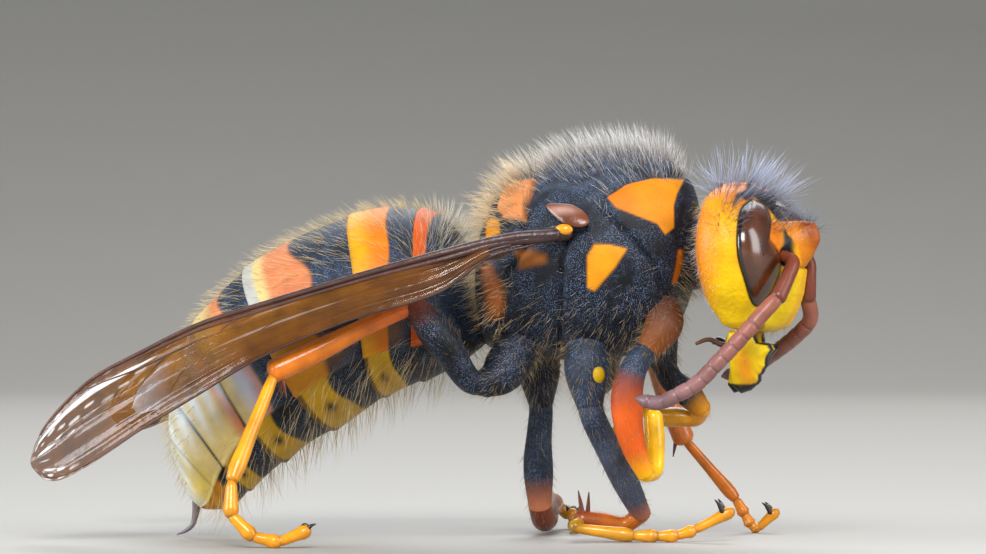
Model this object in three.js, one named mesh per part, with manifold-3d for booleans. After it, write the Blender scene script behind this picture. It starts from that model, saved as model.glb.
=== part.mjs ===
// A life-size yellow hornet queen, standing with two legs tucked under the body.
// Millimetres. X runs forward to the head, Y to the insect's left, Z up, the floor at Z = 0.

import * as THREE from 'three';
import { mergeVertices } from 'three/addons/utils/BufferGeometryUtils.js';
import Module from 'manifold-3d';

const wasm = await Module();
wasm.setup();

// Driving dimensions

const GAP = 0.26; // clear space between neighbouring pieces
const AROUND = 24; // points round a body segment
const THORAX_STEPS = 18;
const LIMB_SIDES = 8;
const MEMBRANE = 0.22; // half the thickness of a wing's membrane
const VEIN = 0.29; // half its thickness along a vein
const CLAW_RADIUS = 0.1;
const SPUR_RADIUS = 0.13;

// Head, as level sections: height, front, back and half the width of each
const HEAD = [
  { z: 12.62, front: 9.45, back: 8.55, half: 1.2 },
  { z: 12.35, front: 9.85, back: 8.4, half: 2.1 },
  { z: 12.0, front: 10.15, back: 8.28, half: 2.6 },
  { z: 11.4, front: 10.66, back: 8.15, half: 3.0 },
  { z: 10.85, front: 11.0, back: 8.06, half: 3.18 },
  { z: 10.3, front: 11.08, back: 8.04, half: 3.22 },
  { z: 9.5, front: 10.98, back: 8.12, half: 3.05 },
  { z: 8.8, front: 10.85, back: 8.22, half: 2.7 },
  { z: 8.2, front: 10.75, back: 8.4, half: 2.2 },
  { z: 7.6, front: 10.6, back: 8.78, half: 1.72 },
  { z: 7.3, front: 10.42, back: 9.0, half: 1.4 },
];
const HEAD_BOTTOM = 7.82;
const HEAD_AROUND = 32;
const HEAD_STEPS = 12;
const HEAD_TURN = THREE.MathUtils.degToRad(-12); // the head looks a little to the right
const NECK_PIVOT = 8.2; // how far forward the head turns on the neck
const PLATE = [11.25, 0, 10.75]; // the raised plate between the feelers
const PLATE_RADII = [0.68, 0.95, 0.55];
const EYE_LOOK = THREE.MathUtils.degToRad(26); // how far forward an eye's outline faces
const EYE_BULGE = 0.17;
const EYE_AROUND = 28;
const EYE_FLOOR = -1.9; // depth of an eye's inner face along the way it faces
// Kidney outline of an eye: forward of the neck and up
const EYE = [
  [1.14, 12.12], [0.74, 11.8], [0.56, 11.1], [0.56, 10.2], [0.78, 9.4], [1.21, 8.4],
  [1.53, 8.6], [1.96, 9.26], [2.12, 9.95], [1.92, 10.36], [1.54, 10.92], [1.76, 11.4], [1.58, 11.9],
];
// Clypeus outline from the front: sideways and up
const CLYPEUS = [[0.7, 9.72], [1.25, 9.4], [1.55, 8.8], [1.52, 8.2], [1.3, 7.85], [0.95, 7.58], [0.45, 7.47]];
const CLYPEUS_BACK = 10.42;
// Mandible outline from the side, base first
const MANDIBLE = [
  [9.15, 7.52], [10.05, 7.52], [10.18, 7.12], [10.64, 7.04], [10.72, 6.85], [10.44, 6.52],
  [10.44, 6.28], [10.12, 5.95], [10.08, 5.72], [9.68, 5.42], [9.28, 5.3], [9.02, 5.56], [9.0, 6.45], [8.98, 7.1],
];
const MANDIBLE_THICK = 0.62;
const MANDIBLE_OUT = 1.2; // sideways, at the base
const MANDIBLE_BACK = 0.65; // how far behind the right one the left one closes
const MANDIBLE_LEAN = 0.34; // how far it leans in for each millimetre down
// The feelers hang before the face and bend back under it
const SCAPE_RIGHT = [[10.9, -0.8, 10.25], [11.45, -0.98, 10.05], [11.66, -1.42, 9.5], [11.5, -1.88, 8.68]];
const FLAGELLUM_RIGHT = [
  [11.48, -1.88, 8.68], [10.8, -2.55, 7.87], [10.13, -2.9, 7.08], [9.53, -3.25, 6.35], [8.95, -3.55, 5.7],
  [8.33, -3.8, 5.31], [7.68, -3.95, 5.03], [6.87, -4.05, 5.17],
];
const SCAPE_LEFT = [[10.8, 0.8, 10.25], [11.3, 0.8, 9.95], [11.34, 0.8, 9.4], [11.22, 0.97, 8.7]];
const FLAGELLUM_LEFT = [
  [11.22, 0.97, 8.7], [11.05, 1.6, 7.9], [10.35, 1.95, 7.3], [9.45, 2.5, 6.8], [8.55, 3.0, 6.35],
  [7.65, 3.4, 6.02], [6.8, 3.6, 5.82],
];
const SCAPE_RADIUS = [0.28, 0.26, 0.25, 0.3];
const FLAGELLUM_PIECES = 11;

// Thorax: top and bottom of each section along the body, with half its width
const THORAX = [
  { top: [7.42, 11.9], bottom: [7.1, 9.0], half: 1.75 },
  { top: [7.05, 12.95], bottom: [6.6, 7.6], half: 2.45 },
  { top: [6.2, 13.66], bottom: [5.6, 6.95], half: 2.95 },
  { top: [4.7, 13.88], bottom: [4.4, 6.6], half: 3.25 },
  { top: [2.98, 13.72], bottom: [3.2, 6.5], half: 3.22 },
  { top: [1.5, 13.15], bottom: [2.1, 6.5], half: 2.95 },
  { top: [0.25, 12.35], bottom: [1.15, 6.5], half: 2.6 },
  { top: [-0.3, 11.0], bottom: [0.5, 6.62], half: 2.15 },
  { top: [-0.42, 9.5], bottom: [0.05, 6.8], half: 1.6 },
  { top: [-0.32, 8.4], bottom: [-0.15, 6.95], half: 0.95 },
];
// Sutures that part the thorax, as lines seen from the side
const PRONOTUM_SUTURE = [[6.72, 14.4], [6.45, 13.45], [5.3, 13.0], [4.05, 12.05], [4.0, 11.5],
  [5.3, 10.95], [6.35, 10.4], [6.4, 9.2], [5.9, 8.1], [5.9, 6.2]];
const SCUTELLUM_SUTURE = [[1.75, 14.4], [1.55, 12.6], [1.0, 11.45], [-0.9, 10.9]];
const PROPODEUM_SUTURE = [[1.08, 11.62], [1.75, 9.4], [2.5, 7.6], [2.5, 6.0]];

// Gaster: sections as on the thorax, from the waist to the tip
const GASTER = [
  { top: [-0.4, 8.05], bottom: [-0.3, 7.0], half: 0.5 },
  { top: [-0.9, 9.5], bottom: [-0.85, 6.5], half: 1.5 },
  { top: [-1.25, 10.8], bottom: [-1.4, 6.15], half: 2.5 },
  { top: [-2.1, 11.6], bottom: [-2.25, 5.8], half: 3.2 },
  { top: [-3.5, 11.93], bottom: [-3.1, 5.45], half: 3.65 },
  { top: [-5.1, 11.6], bottom: [-4.0, 5.1], half: 3.9 },
  { top: [-7.17, 10.82], bottom: [-4.9, 4.5], half: 4.0 },
  { top: [-8.95, 9.75], bottom: [-5.9, 3.9], half: 3.9 },
  { top: [-10.1, 8.75], bottom: [-6.9, 3.35], half: 3.6 },
  { top: [-10.98, 7.7], bottom: [-7.75, 2.75], half: 3.2 },
  { top: [-11.6, 6.3], bottom: [-8.5, 2.15], half: 2.7 },
  { top: [-11.92, 4.95], bottom: [-9.05, 1.7], half: 2.2 },
  { top: [-12.0, 4.0], bottom: [-9.4, 1.3], half: 1.8 },
  { top: [-11.92, 3.2], bottom: [-9.7, 1.05], half: 1.4 },
  { top: [-11.6, 2.25], bottom: [-10.15, 0.95], half: 0.95 },
  { top: [-11.35, 1.6], bottom: [-10.65, 0.95], half: 0.5 },
];
// Hind edge of each gaster segment, counted in the sections above
const SEGMENT_ENDS = [3.35, 5, 7, 9, 11, 15];
const SEGMENT_CUTS = [0, 0.27, 0.22, 0.22, 0.25, 0.42]; // where a segment starts, past the last one's end
const SEGMENT_STEPS = [7, 4, 4, 4, 4, 6];
const SEGMENT_SWELL = 0.11; // how far a segment's hind edge stands over the next one
const STING = [[-11.02, 0, 1.3], [-11.1, 0, 0.8], [-11.2, 0, 0.45], [-11.45, 0, 0.22], [-11.8, 0, 0.07]];

// Wings of the right side: upper and lower edge of the folded blade, root first
const FOREWING_UPPER = [
  [3.21, -3.72, 11.16], [1.08, -4.4, 10.76], [-0.7, -4.95, 10.31], [-3.88, -5.22, 9.4], [-6.92, -5.32, 8.52],
  [-9.33, -5.35, 7.78], [-11.4, -5.35, 6.82], [-13.4, -5.35, 5.76], [-14.89, -5.35, 4.33], [-15.6, -5.4, 3.19],
];
const FOREWING_LOWER = [
  [3.21, -3.72, 10.56], [1.11, -4.45, 10.13], [-0.62, -5.2, 8.84], [-3.75, -5.88, 7.85], [-6.74, -6.3, 6.6],
  [-9.15, -6.2, 5.22], [-11.24, -6.0, 4.01], [-13.27, -5.75, 2.73], [-14.6, -5.6, 2.18], [-15.46, -5.5, 2.42],
];
const HINDWING_UPPER = [
  [1.5, -3.42, 10.6], [0.0, -3.75, 10.4], [-2.0, -4.2, 9.95], [-5.0, -4.5, 8.95], [-7.6, -4.55, 8.1],
  [-9.0, -4.6, 7.1],
];
const HINDWING_LOWER = [
  [1.5, -3.46, 10.05], [0.0, -3.8, 9.9], [-2.0, -4.3, 9.4], [-5.0, -4.72, 8.25], [-7.4, -4.9, 7.15],
  [-8.8, -4.8, 6.7],
];
const WING_FRONT_VEINS = [0, 3, 6, 8];
const WING_ROWS = 10;
const LEFT_WING_LIFT = THREE.MathUtils.degToRad(4.6); // the left wings are held a little higher
const CROSS_VEINS = [[0.3, 3, 6], [0.44, 0, 3], [0.52, 3, 6], [0.63, 6, 8], [0.7, 0, 3], [0.78, 3, 6]];

// Legs. A part is a line of points, with its radius at each; it starts where the last one ends.
const LEGS = {
  hind_right: {
    coxa: { line: [[1.3, -1.3, 7.0], [0.75, -1.95, 5.95], [0.3, -2.4, 5.62]], radius: [0.75, 0.8, 0.5] },
    femur: { line: [[-0.15, -2.7, 5.75], [-0.87, -3.45, 7.0], [-1.85, -4.05, 8.42]], radius: [0.42, 0.5, 0.62, 0.4] },
    tibia: { line: [[-3.6, -4.5, 7.6], [-5.1, -4.9, 6.82], [-6.5, -5.4, 6.12]], radius: [0.3, 0.32, 0.4, 0.42] },
    spurs: [[[-6.3, -5.4, 6.0], [-6.1, -5.4, 5.15]], [[-6.45, -5.2, 6.0], [-6.4, -5.0, 5.2]]],
    tarsus: [[-7.5, -7.45, 2.3], [-7.45, -7.7, 1.15], [-6.7, -7.6, 0.4], [-5.8, -7.45, 0.2], [-4.8, -7.25, 0.62]],
    thick: 0.27,
    claw: [0.25, 0.3, 0.45],
  },
  middle_right: {
    coxa: { line: [[3.75, -1.3, 7.1], [3.85, -1.75, 5.9], [4.0, -1.95, 4.9]], radius: [0.8, 0.78, 0.48] },
    femur: { line: [[4.1, -1.85, 4.45], [4.73, -0.5, 2.6], [5.28, 0.66, 0.95]], radius: [0.44, 0.46, 0.48, 0.35] },
    tibia: { line: [[4.7, 0.66, 0.6], [4.04, 0.42, 0.66], [3.2, 0.12, 0.76]], radius: [0.3, 0.3, 0.35, 0.38] },
    spurs: [[[3.45, 0.1, 0.9], [3.5, 0.05, 1.75]], [[3.3, -0.05, 0.95], [3.15, -0.1, 1.8]]],
    tarsus: [[3.15, -0.62, 0.5], [5.18, -0.36, 0.24], [5.97, -0.16, 0.22], [6.66, 0.02, 0.23],
      [7.27, 0.2, 0.42], [8.6, 0.55, 1.11]],
    thick: 0.25,
    claw: [-0.3, 0.0, 0.7],
  },
  front_right: {
    coxa: { line: [[6.2, -1.2, 8.7], [6.75, -1.7, 7.8], [6.2, -2.15, 6.85]], radius: [0.7, 0.8, 0.48] },
    femur: {
      line: [[5.75, -2.45, 6.3], [5.5, -2.6, 5.4], [5.5, -2.6, 4.5], [5.72, -2.5, 3.4], [6.08, -2.25, 2.5]],
      radius: [0.42, 0.48, 0.56, 0.52, 0.42, 0.32],
    },
    tibia: { line: [[6.36, -1.65, 2.6], [6.36, -1.5, 3.6], [6.25, -1.4, 4.5]], radius: [0.3, 0.3, 0.36, 0.33] },
    spurs: [[[6.2, -1.4, 4.4], [5.95, -1.0, 4.0]]],
    tarsus: [[5.35, -0.3, 5.1], [4.75, 0.15, 4.6], [4.62, 0.4, 4.1], [4.66, 0.5, 3.6], [4.95, 0.6, 2.9]],
    thick: 0.22,
    claw: [0.35, 0.1, -0.35],
  },
  front_left: {
    coxa: { line: [[5.8, 1.0, 8.0], [5.8, 1.3, 7.0], [5.95, 1.5, 6.2]], radius: [0.65, 0.68, 0.46] },
    femur: { line: [[6.15, 1.65, 5.75], [6.7, 1.85, 5.25], [7.22, 1.95, 4.68]], radius: [0.42, 0.44, 0.48, 0.34] },
    tibia: { line: [[6.9, 2.35, 4.35], [6.2, 2.4, 4.38], [5.45, 2.3, 4.36]], radius: [0.3, 0.3, 0.35, 0.33] },
    spurs: [[[5.6, 2.3, 4.2], [5.35, 2.4, 3.75]]],
    tarsus: [[4.55, 2.5, 4.75], [4.05, 2.6, 4.2], [3.92, 2.6, 3.7], [3.95, 2.6, 3.2], [4.25, 2.6, 2.55]],
    thick: 0.22,
    claw: [0.35, -0.1, -0.35],
  },
  middle_left: {
    coxa: { line: [[3.4, 1.3, 7.1], [3.35, 2.0, 6.0], [3.35, 2.65, 5.6]], radius: [0.8, 0.74, 0.46] },
    femur: { line: [[3.36, 3.0, 5.75], [3.42, 4.6, 7.2], [3.55, 6.2, 8.4]], radius: [0.42, 0.44, 0.48, 0.34] },
    tibia: {
      line: [[4.2, 6.7, 6.9], [4.85, 6.95, 5.0], [5.42, 7.12, 3.5]],
      radius: [0.3, 0.32, 0.38, 0.4],
    },
    spurs: [[[5.2, 7.1, 3.65], [5.05, 7.1, 2.8]]],
    tarsus: [[7.3, 7.6, 1.25], [7.6, 7.68, 0.7], [7.82, 7.72, 0.32], [8.05, 7.78, 0.13], [8.75, 7.95, 0.8]],
    thick: 0.23,
    claw: [-0.35, 0.0, 0.6],
  },
  hind_left: {
    coxa: { line: [[1.35, 1.2, 7.0], [1.25, 1.9, 5.7], [1.2, 2.3, 4.95]], radius: [0.78, 0.76, 0.48] },
    femur: { line: [[1.17, 2.45, 4.5], [0.95, 2.95, 3.0], [0.88, 3.5, 1.1]], radius: [0.42, 0.46, 0.54, 0.42] },
    tibia: {
      line: [[0.9, 4.0, 0.62], [0.7, 5.6, 0.8], [0.4, 7.3, 0.9], [0.1, 8.8, 0.95]],
      radius: [0.42, 0.45, 0.33, 0.38, 0.4],
    },
    spurs: [[[0.1, 8.6, 1.0], [-0.1, 9.15, 1.65]]],
    tarsus: [[0.6, 9.45, 0.55], [1.25, 8.4, 0.22], [1.4, 7.4, 0.21], [1.5, 6.6, 0.22], [1.6, 5.8, 0.3],
      [1.75, 5.0, 0.8]],
    thick: 0.25,
    claw: [0.0, 0.3, 0.5],
  },
};

// Colours, roughness

const BLACK = { color: 0x14161c, roughness: 0.55 };
const YELLOW = { color: 0xf5b400, roughness: 0.4 };
const LEMON = { color: 0xf5d800, roughness: 0.35 };
const ORANGE = { color: 0xe8651a, roughness: 0.4 };
const SALMON = { color: 0xe89060, roughness: 0.45 };
const EYE_BROWN = { color: 0x5a2e10, roughness: 0.12 };
const DUSKY = { color: 0xb9705a, roughness: 0.5 };
const RED_BROWN = { color: 0x8e3a20, roughness: 0.35 };
const AMBER = { color: 0x8a4a10, roughness: 0.25 };
const PALE_LEG = { color: 0xf0a030, roughness: 0.4 };

const hornet = new THREE.Group();
const headGroup = new THREE.Group();
headGroup.position.set(NECK_PIVOT, 0, 0);
headGroup.rotation.z = HEAD_TURN;
headGroup.updateMatrix();
hornet.add(headGroup);

function addPiece(name, geometry, look, parent = hornet) {
  const material = new THREE.MeshStandardMaterial({ ...look, metalness: 0 });
  const mesh = new THREE.Mesh(geometry, material);
  mesh.name = name;
  parent.add(mesh);
}

// The head's pieces are drawn with the neck at its place on the body, and turn about it
function addToHead(name, geometry, look) {
  addPiece(name, geometry.clone().translate(-NECK_PIVOT, 0, 0), look, headGroup);
}

// Geometry helpers

function signedVolume(positions, index) {
  const a = new THREE.Vector3();
  const b = new THREE.Vector3();
  const c = new THREE.Vector3();
  let sum = 0;
  for (let i = 0; i < index.length; i += 3) {
    a.fromArray(positions, index[i] * 3);
    b.fromArray(positions, index[i + 1] * 3);
    c.fromArray(positions, index[i + 2] * 3);
    sum += a.dot(b.cross(c));
  }
  return sum / 6;
}

function outward(positions, index) {
  if (signedVolume(positions, index) < 0) {
    for (let i = 0; i < index.length; i += 3) {
      [index[i + 1], index[i + 2]] = [index[i + 2], index[i + 1]];
    }
  }
  const geometry = new THREE.BufferGeometry();
  geometry.setAttribute('position', new THREE.Float32BufferAttribute(positions, 3));
  geometry.setIndex(index);
  return geometry;
}

// A closed body through rings of points, with a fan over each end
function loft(rings) {
  const count = rings[0].length;
  const positions = rings.flat().flatMap((p) => p.toArray());
  const index = [];
  for (let r = 0; r + 1 < rings.length; r += 1) {
    for (let k = 0; k < count; k += 1) {
      const a = r * count + k;
      const b = r * count + ((k + 1) % count);
      index.push(a, b, b + count, a, b + count, a + count);
    }
  }
  for (const [ring, first] of [[rings[0], 0], [rings.at(-1), (rings.length - 1) * count]]) {
    const middle = ring.reduce((sum, p) => sum.add(p), new THREE.Vector3()).divideScalar(count);
    const apex = positions.length / 3;
    positions.push(...middle.toArray());
    for (let k = 0; k < count; k += 1) {
      const a = first + k;
      const b = first + ((k + 1) % count);
      index.push(...(first === 0 ? [b, a, apex] : [a, b, apex]));
    }
  }
  return outward(positions, index);
}

function bare(geometry) {
  const copy = geometry.clone();
  copy.deleteAttribute('normal');
  copy.deleteAttribute('uv');
  return mergeVertices(copy, 1e-4);
}

function mirrored(source) {
  const geometry = bare(source);
  const positions = Array.from(geometry.getAttribute('position').array);
  for (let i = 1; i < positions.length; i += 3) {
    positions[i] = -positions[i];
  }
  return outward(positions, Array.from(geometry.getIndex().array));
}

function toSolid(geometry) {
  const merged = bare(geometry);
  return new wasm.Manifold(new wasm.Mesh({
    numProp: 3,
    vertProperties: new Float32Array(merged.getAttribute('position').array),
    triVerts: new Uint32Array(merged.getIndex().array),
  }));
}

function toGeometry(solid) {
  const mesh = solid.getMesh();
  const positions = [];
  for (let i = 0; i < mesh.numVert; i += 1) {
    positions.push(...mesh.vertProperties.slice(i * mesh.numProp, i * mesh.numProp + 3));
  }
  const geometry = new THREE.BufferGeometry();
  geometry.setAttribute('position', new THREE.Float32BufferAttribute(positions, 3));
  geometry.setIndex(Array.from(mesh.triVerts));
  return geometry;
}

function largest(solid) {
  return solid.decompose().reduce((best, piece) => (piece.volume() > best.volume() ? piece : best));
}

function fuse(geometries) {
  const joined = geometries.map(toSolid).reduce((sum, solid) => sum.add(solid));
  return toGeometry(largest(joined));
}

// A piece cut clear of the grown shapes of what it grows from
function trim(geometry, cutters) {
  const rest = cutters.map(toSolid).reduce((left, cutter) => left.subtract(cutter), toSolid(geometry));
  return toGeometry(largest(rest));
}

// A line of points, drawn out past both ends
function drawnOut(line, distance) {
  const points = line.map((p) => new THREE.Vector3(...p));
  const first = points[0].clone().sub(points[1]).setLength(distance).add(points[0]);
  const last = points.at(-1).clone().sub(points.at(-2)).setLength(distance).add(points.at(-1));
  return [first, ...points.slice(1, -1), last].map((p) => p.toArray());
}

function grownLimb(part) {
  return limb(drawnOut(part.line, GAP), part.radius.map((r) => r + GAP));
}

function ball(centre, radii, detail = 10) {
  const sphere = new THREE.SphereGeometry(1, detail, Math.round(detail * 0.7));
  return sphere.scale(...radii).translate(...centre);
}

// A prism whose outline is drawn from the side, reaching from y = near to y = far
function sidePrism(outline, near, far) {
  const shape = new THREE.Shape(outline.map(([x, z]) => new THREE.Vector2(x, z)));
  const prism = new THREE.ExtrudeGeometry(shape, { depth: far - near, bevelEnabled: false });
  return prism.rotateX(Math.PI / 2).translate(0, far, 0);
}

// A thin wall along a line drawn from the side, as wide as the gap between pieces
function sutureWall(line) {
  const offset = (side) => line.map(([x, z], i) => {
    const [x0, z0] = line[Math.max(i - 1, 0)];
    const [x1, z1] = line[Math.min(i + 1, line.length - 1)];
    const length = Math.hypot(x1 - x0, z1 - z0);
    return [x - side * (z1 - z0) / length, z + side * (x1 - x0) / length];
  });
  return sidePrism([...offset(GAP / 2), ...offset(-GAP / 2).reverse()], -6, 6);
}

// A limb along a smooth line, with flat ends; the radius runs smoothly through the given ones
function limb(line, radii, steps = 6, sides = LIMB_SIDES) {
  const path = new THREE.CatmullRomCurve3(line.map((p) => new THREE.Vector3(...p)));
  const swell = new THREE.CatmullRomCurve3(
    radii.map((r, i) => new THREE.Vector3(i / (radii.length - 1), r, 0)),
  );
  const frames = path.computeFrenetFrames(steps);
  const rings = [];
  for (let i = 0; i <= steps; i += 1) {
    rings.push(ringAt(path.getPointAt(i / steps), frames.normals[i], frames.binormals[i],
      swell.getPoint(i / steps).y, sides));
  }
  return loft(rings);
}

function ringAt(centre, across, up, radius, sides) {
  return Array.from({ length: sides }, (_, k) => {
    const angle = (2 * Math.PI * k) / sides;
    return centre.clone()
      .addScaledVector(across, radius * Math.cos(angle))
      .addScaledVector(up, radius * Math.sin(angle));
  });
}

// A chain of pieces that each widen towards their far end, as a tarsus or a feeler does
function jointedLimb(joints, baseRadius, tipRadius, sides) {
  const points = joints.map((p) => new THREE.Vector3(...p));
  const rings = [];
  let across = new THREE.Vector3(0, 1, 0);
  for (let i = 0; i + 1 < points.length; i += 1) {
    const along = points[i + 1].clone().sub(points[i]);
    const direction = along.clone().normalize();
    across = across.clone().addScaledVector(direction, -across.dot(direction)).normalize();
    const up = direction.clone().cross(across);
    const radius = THREE.MathUtils.lerp(baseRadius, tipRadius, i / (points.length - 2));
    for (const [place, share] of [[0.14, 0.8], [0.5, 0.9], [0.86, 1.08]]) {
      const centre = points[i].clone().addScaledVector(along, place);
      rings.push(ringAt(centre, across, up, radius * share, sides));
    }
  }
  return loft(rings);
}

// Sections of the body

function sectionCurves(sections) {
  const curve = (key) => new THREE.CatmullRomCurve3(
    sections.map((s) => new THREE.Vector3(s[key][0], s.half, s[key][1])),
  );
  return { top: curve('top'), bottom: curve('bottom'), last: sections.length - 1 };
}

function bodyRing(curves, place, swell) {
  const top = curves.top.getPoint(place / curves.last);
  const bottom = curves.bottom.getPoint(place / curves.last);
  const middle = new THREE.Vector3((top.x + bottom.x) / 2, 0, (top.z + bottom.z) / 2);
  const up = new THREE.Vector3((top.x - bottom.x) / 2, 0, (top.z - bottom.z) / 2);
  const grown = up.length() + swell;
  up.setLength(grown);
  return Array.from({ length: AROUND }, (_, k) => {
    const angle = (2 * Math.PI * k) / AROUND;
    const point = middle.clone().addScaledVector(up, Math.cos(angle));
    point.y = (top.y + swell) * Math.sin(angle);
    return point;
  });
}

function bodyLoft(sections, from, to, steps, swellAt = () => 0) {
  const curves = sectionCurves(sections);
  const rings = [];
  for (let i = 0; i <= steps; i += 1) {
    rings.push(bodyRing(curves, THREE.MathUtils.lerp(from, to, i / steps), swellAt(i / steps)));
  }
  return loft(rings);
}

// The whole thorax, or the same a gap larger all round
function thoraxShape(grow) {
  const curves = sectionCurves(THORAX);
  const rings = [];
  for (let i = 0; i <= THORAX_STEPS; i += 1) {
    const share = i / THORAX_STEPS;
    const forward = new THREE.Vector3(grow * (1 - 2 * share) ** 3, 0, 0);
    rings.push(bodyRing(curves, share * curves.last, grow).map((p) => p.add(forward)));
  }
  return loft(rings);
}

// Head

function headRing(height, grow) {
  const heights = HEAD.map((s) => s.z);
  let i = 0;
  while (i + 2 < HEAD.length && height < heights[i + 1]) {
    i += 1;
  }
  const share = (heights[i] - height) / (heights[i] - heights[i + 1]);
  const value = (key) => {
    const before = HEAD[Math.max(i - 1, 0)][key];
    const after = HEAD[Math.min(i + 2, HEAD.length - 1)][key];
    const curve = new THREE.CatmullRomCurve3(
      [before, HEAD[i][key], HEAD[i + 1][key], after].map((v, k) => new THREE.Vector3(k, v, 0)),
    );
    return curve.getPoint((1 + share) / 3).y;
  };
  const front = value('front') + grow;
  const back = value('back') - grow;
  const half = value('half') + grow;
  const centre = (front + back) / 2;
  const deep = (front - back) / 2;
  return Array.from({ length: HEAD_AROUND }, (_, k) => {
    const angle = (2 * Math.PI * k) / HEAD_AROUND;
    const along = Math.cos(angle);
    const y = half * Math.sin(angle);
    const hollow = 0.5 * Math.exp(-((y / 1.5) ** 2)) * Math.max(-along, 0);
    const reach = along > 0 ? along : -(Math.abs(along) ** 0.62);
    return new THREE.Vector3(centre + deep * reach + hollow, y, height);
  });
}

function headLoft(low, high, steps, grow) {
  const rings = [];
  for (let i = 0; i <= steps; i += 1) {
    const height = THREE.MathUtils.lerp(low, high, i / steps);
    rings.push(headRing(height, grow));
  }
  if (grow >= GAP) {
    rings.unshift(rings[0].map((p) => p.clone().setZ(low - grow)));
    rings.push(rings.at(-1).map((p) => p.clone().setZ(high + grow)));
  }
  return loft(rings);
}

function eyePrism(grow, floor) {
  const spline = new THREE.CatmullRomCurve3(EYE.map(([u, z]) => new THREE.Vector3(u, z, 0)), true);
  const outline = Array.from({ length: EYE_AROUND }, (_, k) => {
    const { x, y } = spline.getPoint(k / EYE_AROUND);
    return [x, y];
  });
  const [grown] = new wasm.CrossSection([outline]).offset(grow, 'Round', 2, 16).simplify(0.02).toPolygons();
  return sidePrism(grown, -6, floor).rotateZ(EYE_LOOK).translate(NECK_PIVOT, 0, 0);
}

function clypeusPrism(grow, back) {
  const mirroredSide = CLYPEUS.map(([y, z]) => [-y, z]).reverse();
  const outline = [...CLYPEUS, ...mirroredSide].map(([y, z]) => {
    const away = [y, z - 8.5];
    const length = Math.hypot(...away);
    return new THREE.Vector2(y + (grow * away[0]) / length, z + (grow * away[1]) / length);
  });
  const prism = new THREE.ExtrudeGeometry(new THREE.Shape(outline), { depth: 4, bevelEnabled: false });
  const turn = new THREE.Matrix4().makeBasis(
    new THREE.Vector3(0, 1, 0), new THREE.Vector3(0, 0, 1), new THREE.Vector3(1, 0, 0),
  );
  return prism.applyMatrix4(turn).translate(back, 0, 0);
}

function makeHead() {
  const socket = eyePrism(GAP + 0.05, EYE_FLOOR + GAP);
  const bulged = headLoft(8.0, 12.4, HEAD_STEPS, EYE_BULGE);
  const clypeusBed = clypeusPrism(GAP, CLYPEUS_BACK - GAP);
  const bulge = toSolid(bulged).intersect(toSolid(eyePrism(0, EYE_FLOOR)));
  const besideScape = toSolid(grownLimb({ line: SCAPE_RIGHT, radius: SCAPE_RADIUS }));
  const eye = toGeometry(largest(bulge.subtract(toSolid(clypeusBed)).subtract(besideScape)));
  const plate = ball(PLATE, PLATE_RADII);
  const ocelli = [[9.85, 0], [9.5, 0.42], [9.5, -0.42]].map(([x, y]) => ball([x, y, 12.3], [0.24, 0.24, 0.3], 6));
  const whole = fuse([headLoft(HEAD_BOTTOM, 12.62, HEAD_STEPS, 0), plate, ...ocelli]);
  addToHead('head', trim(whole, [socket, mirrored(socket), clypeusBed]), YELLOW);
  addToHead('eye_right', eye, EYE_BROWN);
  addToHead('eye_left', mirrored(eye), EYE_BROWN);
  const clypeus = toSolid(headLoft(7.32, 9.9, 7, 0.08)).intersect(toSolid(clypeusPrism(0, CLYPEUS_BACK)));
  addToHead('clypeus', toGeometry(largest(clypeus)), LEMON);
}

function makeMouth() {
  const bevel = 0.1;
  const shape = new THREE.Shape(MANDIBLE.map(([x, z]) => new THREE.Vector2(x, z)));
  const blade = new THREE.ExtrudeGeometry(shape, {
    depth: MANDIBLE_THICK - 2 * bevel,
    bevelEnabled: true,
    bevelThickness: bevel,
    bevelSize: 0.06,
    bevelOffset: -0.06,
    bevelSegments: 1,
  });
  blade.rotateX(Math.PI / 2).translate(0, MANDIBLE_THICK / 2 - bevel, 0);
  const place = blade.getAttribute('position');
  const base = MANDIBLE[0][1];
  for (let i = 0; i < place.count; i += 1) {
    place.setY(i, place.getY(i) - MANDIBLE_OUT + (base - place.getZ(i)) * MANDIBLE_LEAN);
  }
  const mandible = toGeometry(toSolid(blade));
  addToHead('mandible_right', mandible, LEMON);
  addToHead('mandible_left', mirrored(mandible).translate(-MANDIBLE_BACK, 0, 0), LEMON);
  const palps = [-1, 1].map((side) => limb(
    [[9.0, side * 0.15, 7.1], [8.5, side * 0.28, 7.0], [8.05, side * 0.45, 7.2], [7.7, side * 0.75, 7.05]],
    [0.25, 0.22, 0.2, 0.12], 3, 5,
  ));
  const lip = ball([9.1, 0, 7.1], [0.6, 0.36, 0.46]);
  addToHead('labium', fuse([lip, ...palps]), RED_BROWN);
}

function makeAntenna(side, scapeLine, flagellumLine, grownHead) {
  const whole = { line: scapeLine, radius: SCAPE_RADIUS };
  const path = new THREE.CatmullRomCurve3(flagellumLine.map((p) => new THREE.Vector3(...p)));
  const joints = path.getSpacedPoints(FLAGELLUM_PIECES).map((p) => p.toArray());
  const grownPlate = ball(PLATE, PLATE_RADII.map((r) => r + GAP), 14);
  const scape = trim(limb(whole.line, whole.radius, 6), [grownHead, grownPlate]);
  addToHead(`antenna_scape_${side}`, scape, RED_BROWN);
  const flagellum = trim(jointedLimb(joints, 0.3, 0.24, 7), [grownLimb(whole)]);
  addToHead(`antenna_flagellum_${side}`, flagellum, DUSKY);
}

// Thorax

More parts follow.
